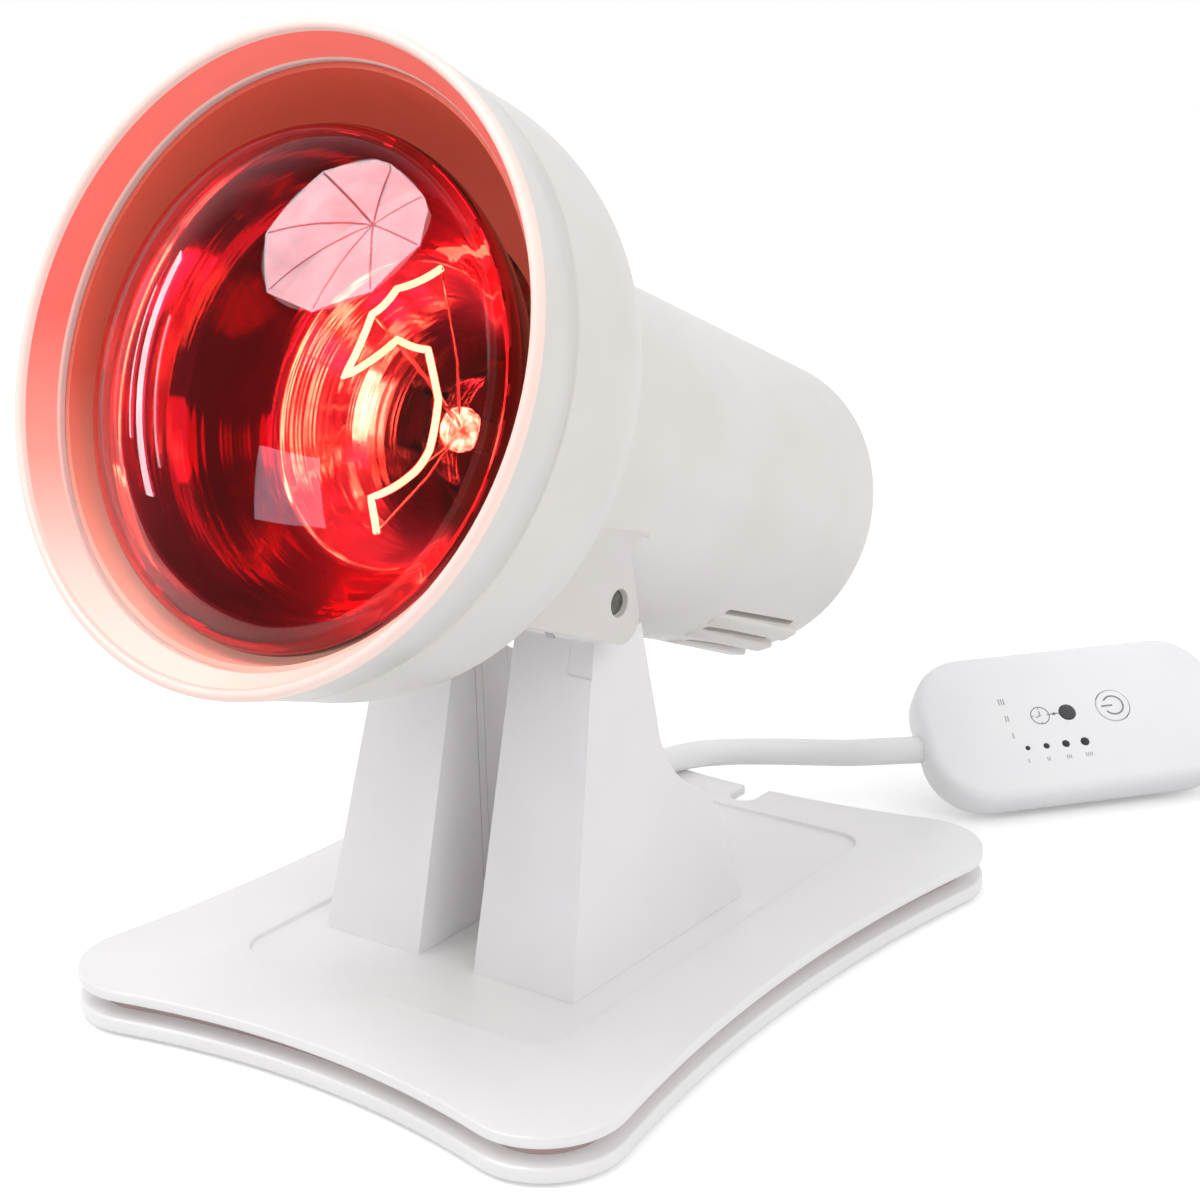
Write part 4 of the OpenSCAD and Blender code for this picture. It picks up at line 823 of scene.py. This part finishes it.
def cheek():
    """A cheek of the hinge bracket: a plate with a hooked rear edge, a sunk pin hole, and a flange below."""
    edge = arc(-4.8, 9.4, 4.2, 100, 0, 12) + arc(-2.6, -2.8, 5, 150, 270, 14)
    plate = across([(HOOD_REAR_S, -7.8), (HOOD_REAR_S, 15.5), (-5.6, 15.5)] + edge, CHEEK_X - CHEEK_T, CHEEK_X)
    hole = capped(lathe([(PIN_HOLE_R, CHEEK_X - 1.2), (PIN_HOLE_R, CHEEK_X + 4)], 64, closed=False))
    cut(plate, place(hole, pin_place @ turned(90, "Y")))
    soften(plate, 0.6, 3)
    flange = across([(10, -7.6), (34.6, -7.6), (34.6, -5.8), (10, -5.8)], 0.2, CHEEK_X - CHEEK_T + 0.4)
    soften(flange, 0.3, 2)
    return joined(plate, flange)


right_cheek = cheek()
left_cheek = mirrored(right_cheek, "cheek_left")
finished(right_cheek, "cheek_right", "head", cheek_plastic, "hinge_cheek_right")
finished(left_cheek, "cheek_left", "head", cheek_plastic, "hinge_cheek_left")


def hinge_rod():
    """A plain steel pin, its cut ends a little rounded."""
    pin = [(2.1, -32.9), (PIN_R, -32.5), (PIN_R, 32.5), (2.1, 32.9), (0, 32.95)]
    return spun(pin, shift(0, PIN_Y, PIN_Z) @ turned(90, "Y"), 50, 48, closed=False)


finished(hinge_rod(), "hinge_rod", body_of_node["hinge_pin"], pin_steel, "hinge_pin")

# ---- bulb ----
GLASS_T, CAP_TOP, CAP_R = 1.2, -22, 13.1
cone_points = [(18.2, -5), (19, 3), (20.9, 11), (23.6, 20), (27.5, 30), (29.6, 35), (31.5, 38), (37, 44), (42.2, 50),
               (46.2, 58)]
DOME_R, DOME_S, APEX_S, BULB_R, WIDE_S = 44.5, 69, 82.5, 47.5, 63
dome_rise = APEX_S - DOME_S
dome_big_r = (DOME_R ** 2 + dome_rise ** 2) / (2 * dome_rise)
dome_angle = math.degrees(math.asin(DOME_R / dome_big_r))


def rounded_path(points, steps=4):
    """A smooth profile through the points [radius, distance]."""
    line = eased([Vector((r, s, 0)) for r, s in points], steps)
    return [(p.x, p.y) for p in line]


def bulb():
    """Blown glass: neck, cone, rounded shoulder and a shallow clear front."""
    side = rounded_path([(CAP_R - 0.6, CAP_TOP), (CAP_R + 0.2, CAP_TOP + 3), (CAP_R + 3, CAP_TOP + 9), *cone_points,
                         (BULB_R, WIDE_S), (BULB_R - 0.5, WIDE_S + 2.6), (BULB_R - 1.5, WIDE_S + 4.6),
                         (DOME_R, DOME_S)])
    front = arc(0, APEX_S - dome_big_r, dome_big_r, 90 - dome_angle, 90, 24)[1:-1] + [(0, APEX_S)]
    return smooth(place(blown(lathe(side + front, closed=False), GLASS_T), bulb_place), 60)


def mirror():
    """The coating inside the bulb's cone: bright towards the filament, and painted dark behind, as painted shade."""
    inside = [(r - GLASS_T - 0.02, s) for r, s in rounded_path(cone_points + [(BULB_R, WIDE_S)], 5)]
    return spun(inside + [(r - 0.3, s) for r, s in reversed(inside)], bulb_place, 60)


def spun_rings(tree, shader, per_metre, depth):
    """Faint rings round the bulb's axis, as spinning leaves them in the glass."""
    along_bulb = tree.nodes.new("ShaderNodeVectorMath")
    along_bulb.operation = "DOT_PRODUCT"
    give(along_bulb, {0: own_place(tree), 1: bulb_axis})
    rings = tree.nodes.new("ShaderNodeTexNoise")
    rings.noise_dimensions = "1D"
    give(rings, {"Scale": per_metre, "Detail": 2, "W": along_bulb.outputs["Value"]})
    relief(tree, shader, rings.outputs["Fac"], depth)


bulb_axis = bulb_place.to_3x3() @ Vector((0, 0, 1))
ruby_glass, tree, shader = new_finish("ruby_glass")
give(shader, {"Base Color": (0.82, 0.056, 0.115, 1), "Roughness": 0, "IOR": 1.5, "Transmission Weight": 1})
spun_rings(tree, shader, 260, 0.012)
silvering, tree, shader = new_finish("silvering")
spun_rings(tree, shader, 420, 0.12)
# The coating by the filament's right end gets a painted glow, which stands for the filament's light on it
from_filament = tree.nodes.new("ShaderNodeVectorMath")
from_filament.operation = "DISTANCE"
give(from_filament, {0: own_place(tree), 1: hang_place @ (Vector((15, -44, 0)) * MM)})
painted_filament_glow = ranged(tree, from_filament.outputs["Value"], 0.85, 0, 0.014, 0.05, "SMOOTHSTEP")
give(shader, {"Base Color": cloudy(tree, grain(tree, 40), srgb(232, 228, 226), srgb(246, 243, 241)),
              "Roughness": spread(tree, grain(tree, 90), 0.05, 0.13), "Metallic": 1, "Emission Strength": painted_filament_glow,
              "Emission Color": cloudy(tree, grain(tree, 60), (1, 0.2, 0.16, 1), (1, 0.4, 0.3, 1))})
# The coating's back: dark red-brown, a painted shade and dark painted reflection in place of the mirror's metal.
coating_back_painted_shade = moulded("coating_back_painted_shade", (40, 14, 12), (58, 22, 18), gloss=(0.4, 0.6), texture=400)
clear_glass, tree, shader = new_finish("clear_glass")
clear = {"Base Color": (0.97, 0.95, 0.93, 1), "Transmission Weight": 1}
give(shader, {**clear, "Roughness": spread(tree, grain(tree, 200), 0.01, 0.05)})
glowing_wire, tree, shader = new_finish("glowing_wire")
give(shader, {"Base Color": srgb(255, 190, 120), "Emission Strength": 62,
              "Emission Color": cloudy(tree, grain(tree, 90), (1, 0.8, 0.24, 1), (1, 0.68, 0.16, 1))})
# The stem's top: clear glass with a patchy painted glow, which stands for the filament's light in the bead.
bead_painted_glow, tree, shader = new_finish("bead_painted_glow")
painted_glow_noise = grain(tree, 520, 1)
give(shader, {**clear, "Emission Color": shades(tree, painted_glow_noise, (0.4, (1, 0.72, 0.2, 1)), (0.6, (1, 0.9, 0.3, 1))),
              "Emission Strength": spread(tree, painted_glow_noise, 2, 26), "Roughness": spread(tree, grain(tree, 200), 0.01, 0.05)})

finished(bulb(), "bulb_envelope", "head", ruby_glass, "bulb_glass")
coating = finished(mirror(), "bulb_silvering", "head", silvering, "bulb_mirror")


def faces_out(face):
    """Whether a face of the coating looks away from the bulb's axis."""
    spot, out = bulb_place.inverted() @ face.center, bulb_place.to_3x3().inverted() @ face.normal
    return spot.x * out.x + spot.y * out.y > 0


# The back faces get the painted shade.
repaint(coating, coating_back_painted_shade, faces_out)

FILAMENT_S, STEM_TOP, FILAMENT_R, POST_R = 38, 18, 0.68, 0.3
filament_line = [(2.9, -22.4), (0, -16.2), (8.3, -11), (11.7, -5.8), (11.6, 3.5), (7, 12.3), (-0.6, 13.4), (-11.9, 5.2),
                 (-7.8, 17.5), (-3, 22.7), (6.7, 27.4)]


def wire_through(name, points, radius):
    """A drawn wire through points in the bulb's frame [across, up, distance before the pin], in millimetres."""
    only(drawn_line(name, [(x, -s, h) for x, h, s in points], radius, 3))
    bpy.ops.object.convert(target="MESH")
    return smooth(place(bpy.context.active_object, hang_place), 50)


def coiled_filament():
    """The coiled wire sags a little between its posts."""
    line = []
    for (x0, h0), (x1, h1) in zip(filament_line, filament_line[1:]):
        for i in range(8):
            t = i / 8
            line.append((x0 + (x1 - x0) * t, h0 + (h1 - h0) * t - 1.6 * t * (1 - t), FILAMENT_S - 1.2 * t * (1 - t)))
    return wire_through("filament", line + [(*filament_line[-1], FILAMENT_S)], FILAMENT_R)


filament = finished(coiled_filament(), "filament_wire", "head", glowing_wire, "filament")
filament.visible_diffuse = False
posts = [wire_through("post", [(x * 0.1, h * 0.1, STEM_TOP - 0.5), (x * 0.45, h * 0.45, STEM_TOP + 6),
                               (x, h, FILAMENT_S)], POST_R) for x, h in filament_line[::2]]
finished(joined(*posts), "filament_posts", "head", nickel, "filament_supports")
stem = spun([(0.8, CAP_TOP + 1), (CAP_R - 2.2, CAP_TOP + 1), (CAP_R - 2.4, CAP_TOP + 4), (5, CAP_TOP + 12),
             (3.4, STEM_TOP - 6), (4.4, STEM_TOP - 3), (4.2, STEM_TOP - 1.4), (3, STEM_TOP - 0.3), (1.2, STEM_TOP),
             (0, STEM_TOP)], bulb_place, 60, 64, closed=False)
finished(stem, "bulb_stem", "head", clear_glass, "filament_stem")
repaint(stem, bead_painted_glow, lambda face: (bulb_place.inverted() @ face.center).z > (STEM_TOP - 6.5) * MM)


# ---- timer control ----
def control_outline(inset):
    """The control's outline, that much smaller all round."""
    return rounded_rectangle(HAND_L - 2 * inset, HAND_W - 2 * inset, HAND_R - inset, 16)


def control_shells():
    """Two shells that meet on a fine line; the upper one has a soft wide edge."""
    upper = place(slab(control_outline(0), 5), shift(0, 0, -5))
    lower = place(slab(control_outline(0.12), 5.9), shift(0, 0, -HAND_T))
    for shell, level_z, offset in ((upper, 0, 2.6), (lower, -HAND_T, 3.2)):
        start_edit(shell)
        pick(shell, "EDGE", lambda edge: all(abs(v.co.z - level_z * MM) < 0.1 * MM for v in edge.verts))
        bpy.ops.mesh.bevel(offset=offset * MM, segments=8, profile=0.5)
        end_edit()
    return upper, lower


POWER_AT, POWER_R, TIMER_AT, TIMER_R = (9.9, 1.4), 4.2, (-2.1, 1.0), 2.0
CLOCK_X, CLOCK_Y, CLOCK_R, CLOCK_LINE = -9.2, 0.9, 2.3, 0.26
SIGN_R, SIGN_LINE, KEY_TOP, INK_T = 2.5, 0.42, 0.28, 0.05
on_face = hand_place @ shift(0, 0, -0.01)
# Each indicator's place along the control and its radius, and their place across it
DOTS, DOTS_Y = [(-14.9, 0.6), (-10.1, 0.75), (-5.1, 0.95), (-0.2, 1.1)], -7.4


def peg(x, y, r, z0, z1, edge=0.25):
    """A round key or lens on the control's face, its edge rounded."""
    top = [(r, z0), (r, z1 - edge), (r - 0.3 * edge, z1 - 0.3 * edge), (r - edge, z1), (0, z1)]
    return spun(top, shift(x, y, 0), 40, 56, closed=False)


def inked(outline):
    """A flat printed mark, a hair's breadth proud of what it's printed on."""
    return slab(outline, INK_T)


def stroke(points, width):
    """A printed line through the points, with square ends."""
    left, rightward = [], []
    for i, p in enumerate(points):
        a, b = points[max(i - 1, 0)], points[min(i + 1, len(points) - 1)]
        d = Vector((b[0] - a[0], b[1] - a[1])).normalized()
        left.append((p[0] - d.y * width / 2, p[1] + d.x * width / 2))
        rightward.append((p[0] + d.y * width / 2, p[1] - d.x * width / 2))
    return inked(left + rightward[::-1])


upper, lower = control_shells()
power_well = peg(*POWER_AT, POWER_R + 0.22, -4, 1, 0.01)
timer_well = peg(*TIMER_AT, TIMER_R + 0.18, -4, 1, 0.01)
cut(upper, power_well, timer_well, *[peg(x, DOTS_Y, r + 0.03, -0.6, 1, 0.01) for x, r in DOTS])
finished(smooth(place(upper, hand_place)), "control_upper", "stand", control_plastic, "control_top")
finished(smooth(place(lower, hand_place)), "control_lower", "stand", control_plastic, "control_bottom")
power = peg(*POWER_AT, POWER_R, -2, KEY_TOP, 0.35)
finished(place(power, hand_place), "power_key", "power_key", key_plastic, "power_button")
timer = peg(*TIMER_AT, TIMER_R, -2, 0.25, 0.4)
finished(place(timer, hand_place), "timer_key", "timer_key", dark_key, "timer_button")
lenses = [peg(x, DOTS_Y, r, -0.5, 0.03, 0.03) for x, r in DOTS]
finished(place(joined(*lenses), hand_place), "indicator_lenses", "stand", lens_plastic, "indicator_lights")

x, y = POWER_AT
power_sign = [stroke(arc(x, y, SIGN_R, 215, 505, 36), SIGN_LINE), stroke([(x - 3.1, y), (x - 0.2, y)], SIGN_LINE)]
finished(place(joined(*power_sign), on_face @ shift(0, 0, KEY_TOP)), "power_sign", "power_key", print_ink,
         slot="dark_plastic")

clock_lines = (arc(CLOCK_X, CLOCK_Y, CLOCK_R, 0, 360, 40), [(CLOCK_X, 0.7), (CLOCK_X, 2.2)],
               [(-9.3, 0.8), (-10.4, 0.5)], [(-6.9, 0.95), (-4.3, 1.0)])
clock = [stroke(line, CLOCK_LINE) for line in clock_lines] + [inked(arc(-5.6, 0.98, 0.42, 0, 360, 16)[:-1])]
ticks = [stroke([(CLOCK_X + r * math.cos(a), CLOCK_Y + r * math.sin(a)) for r in (1.7, 2.1)], 0.22)
         for a in (math.radians(90 * k) for k in range(4))]
finished(place(joined(*clock, *ticks), on_face), "clock_sign", "stand", print_ink, slot="dark_plastic")


def scale_marks():
    """Small plain bars of growing count, below the dots and at the left."""
    marks = []
    for count, (x, _) in enumerate(DOTS, 1):
        for k in range(count):
            marks.append(stroke([(x - 0.75 + 0.5 * k, -11.4), (x - 0.75 + 0.5 * k, -10.4)], 0.24))
    for count, (x, y) in enumerate([(-16.9, -3.7), (-17.4, 1.0), (-17.8, 5.7)], 1):
        for k in range(count):
            marks.append(stroke([(x - 0.6 + 0.6 * k, y - 0.8), (x - 0.6 + 0.6 * k, y + 0.8)], 0.3))
    return joined(*marks)


finished(place(scale_marks(), on_face), "scale_marks", "stand", pale_ink, slot="dark_plastic")

# ---- parts that keep the solid's own shape ----
kept = {
    sheet_steel: ("ballast_plate", "support_arm_left", "support_arm_right", "friction_discs", "spacer_sleeve",
                  "holder_bracket"),
    screw_steel: ("base_screws", "holder_screws", "control_screws"), brass: ("holder_thread", "holder_contact"),
    stand_plastic: ("leg_cover_left", "leg_cover_right"), control_plastic: ("control_foot",),
    porcelain: ("lamp_holder",), cap_metal: ("bulb_cap",), insulator_glass: ("cap_insulator",),
    nickel: ("cap_contact",), board_resin: ("control_board",),
}
for finish, names in kept.items():
    for name in names:
        nodes[name].data.materials.clear()
        nodes[name].data.materials.append(finish)

# ---- light and floor ----
FLOOR_Z = -0.0002
bpy.ops.object.select_all(action="DESELECT")
bpy.ops.mesh.primitive_plane_add(size=1.6, location=(0, 0.63, FLOOR_Z))
floor = bpy.context.active_object
floor.scale = (1.4, 1, 1)
floor.name = "floor"


def seen_directly(tree, glossy_too=True):
    """1 where the camera sees a surface, straight or in metal and glass."""
    ray = tree.nodes.new("ShaderNodeLightPath")
    seen = ray.outputs["Is Camera Ray"]
    for name in ("Is Glossy Ray", "Is Transmission Ray") if glossy_too else ():
        either = tree.nodes.new("ShaderNodeMath")
        either.operation = "MAXIMUM"
        give(either, {0: seen, 1: ray.outputs[name]})
        seen = either.outputs["Value"]
    return seen


floor_finish, tree, shader = new_finish("floor_white")
give(shader, {"Base Color": ranged(tree, seen_directly(tree), 0.86, 1), "Roughness": 0.9, "Specular IOR Level": 0.1,
              "Emission Color": (1, 1, 1, 1), "Emission Strength": ranged(tree, seen_directly(tree), 0, 0.25)})
floor.data.materials.append(floor_finish)

# The white backdrop stands behind the lamp, and the room before it is dim
world = bpy.data.worlds.new("studio")
bpy.context.scene.world = world
world.use_nodes = True
tree = world.node_tree
bearing = tree.nodes.new("ShaderNodeSeparateXYZ")
give(bearing, {"Vector": tree.nodes.new("ShaderNodeTexCoord").outputs["Generated"]})
room = ranged(tree, bearing.outputs["Y"], 0.12, 1, -0.1, 0.3)
reflected = ranged(tree, seen_directly(tree), 0.76, room)
give(tree.nodes["Background"], {"Color": (1, 1, 1, 1),
                                "Strength": ranged(tree, seen_directly(tree, glossy_too=False), reflected, 1)})


def softbox(name, at, towards, size, power):
    """A round area light."""
    light = bpy.data.lights.new(name, "AREA")
    light.shape = "DISK"
    light.size = size
    light.energy = power
    holder = new_object(name, light)
    holder.location = at
    holder.rotation_euler = (Vector(towards) - Vector(at)).to_track_quat("-Z", "Y").to_euler()


UMBRELLA_AT, WINDOW_AT, SIDE_AT = (-0.315, -0.446, 0.913), (-0.644, -1.974, 0.044), (-0.95, -0.3, 0.22)
LAMP_AT, DOME_AT, DOME_LOW_AT = (0, 0, 0.1), (0.0155, -0.0698, 0.1655), (0.016, -0.088, 0.124)
softbox("key_softbox", UMBRELLA_AT, LAMP_AT, 0.7, 2.7)
softbox("side_softbox", (1.1, -0.2, 0.9), LAMP_AT, 0.9, 2.8)


def studio_card(name, at, towards, outline, glow, colour):
    """A card or umbrella that only polished parts see, cut to the outline or shaped already."""
    card = slab(outline, 1) if isinstance(outline, list) else outline
    card.name = name
    finish, tree, shader = new_finish(name)
    give(shader, {"Base Color": (0, 0, 0, 1), "Specular IOR Level": 0, "Emission Color": colour,
                  "Emission Strength": spread(tree, grain(tree, 7), 0.72 * glow, glow)})
    card.data.materials.append(finish)
    turn = (Vector(towards) - Vector(at)).to_track_quat("Z", "Y").to_matrix().to_4x4()
    card.matrix_world = Matrix.Translation(at) @ turn
    card.visible_camera = card.visible_diffuse = card.visible_shadow = False


def bar_between(a, b, width):
    """The outline of a straight bar."""
    aside = Vector((a[1] - b[1], b[0] - a[0])).normalized() * width / 2
    return [(p[0] + k * aside.x, p[1] + k * aside.y) for p, k in ((a, 1), (b, 1), (b, -1), (a, -1))]


UMBRELLA_R, UMBRELLA_HUB, RIB_W = 360, (-75, 95), 8
umbrella = arc(0, 0, UMBRELLA_R, 10, 370, 8)[:-1]
studio_card("umbrella", UMBRELLA_AT, DOME_AT, umbrella, 12, (1, 0.95, 0.97, 1))
for inset, half, width, glow in ((0, 300, 60, 9), (-130, 200, 22, 5), (120, 170, 16, 7)):
    lean = 0.5 * half
    strip = [(inset - lean, -half), (inset - lean + width, -half), (inset + lean + width, half), (inset + lean, half)]
    studio_card("side_strip", SIDE_AT, DOME_AT, strip, glow, (1, 0.93, 0.95, 1))
ribs = joined(*[slab(bar_between(UMBRELLA_HUB, (x * 0.96, y * 0.96), RIB_W), 3) for x, y in umbrella])
studio_card("umbrella_ribs", UMBRELLA_AT, DOME_AT, ribs, 4, (0.7, 0.55, 0.62, 1))
studio_card("window", WINDOW_AT, DOME_LOW_AT, [(-380, -300), (380, -300), (330, 300), (-330, 300)],
            4, (0.72, 0.82, 1, 1))
bpy.context.scene.view_settings.view_transform = "Standard"
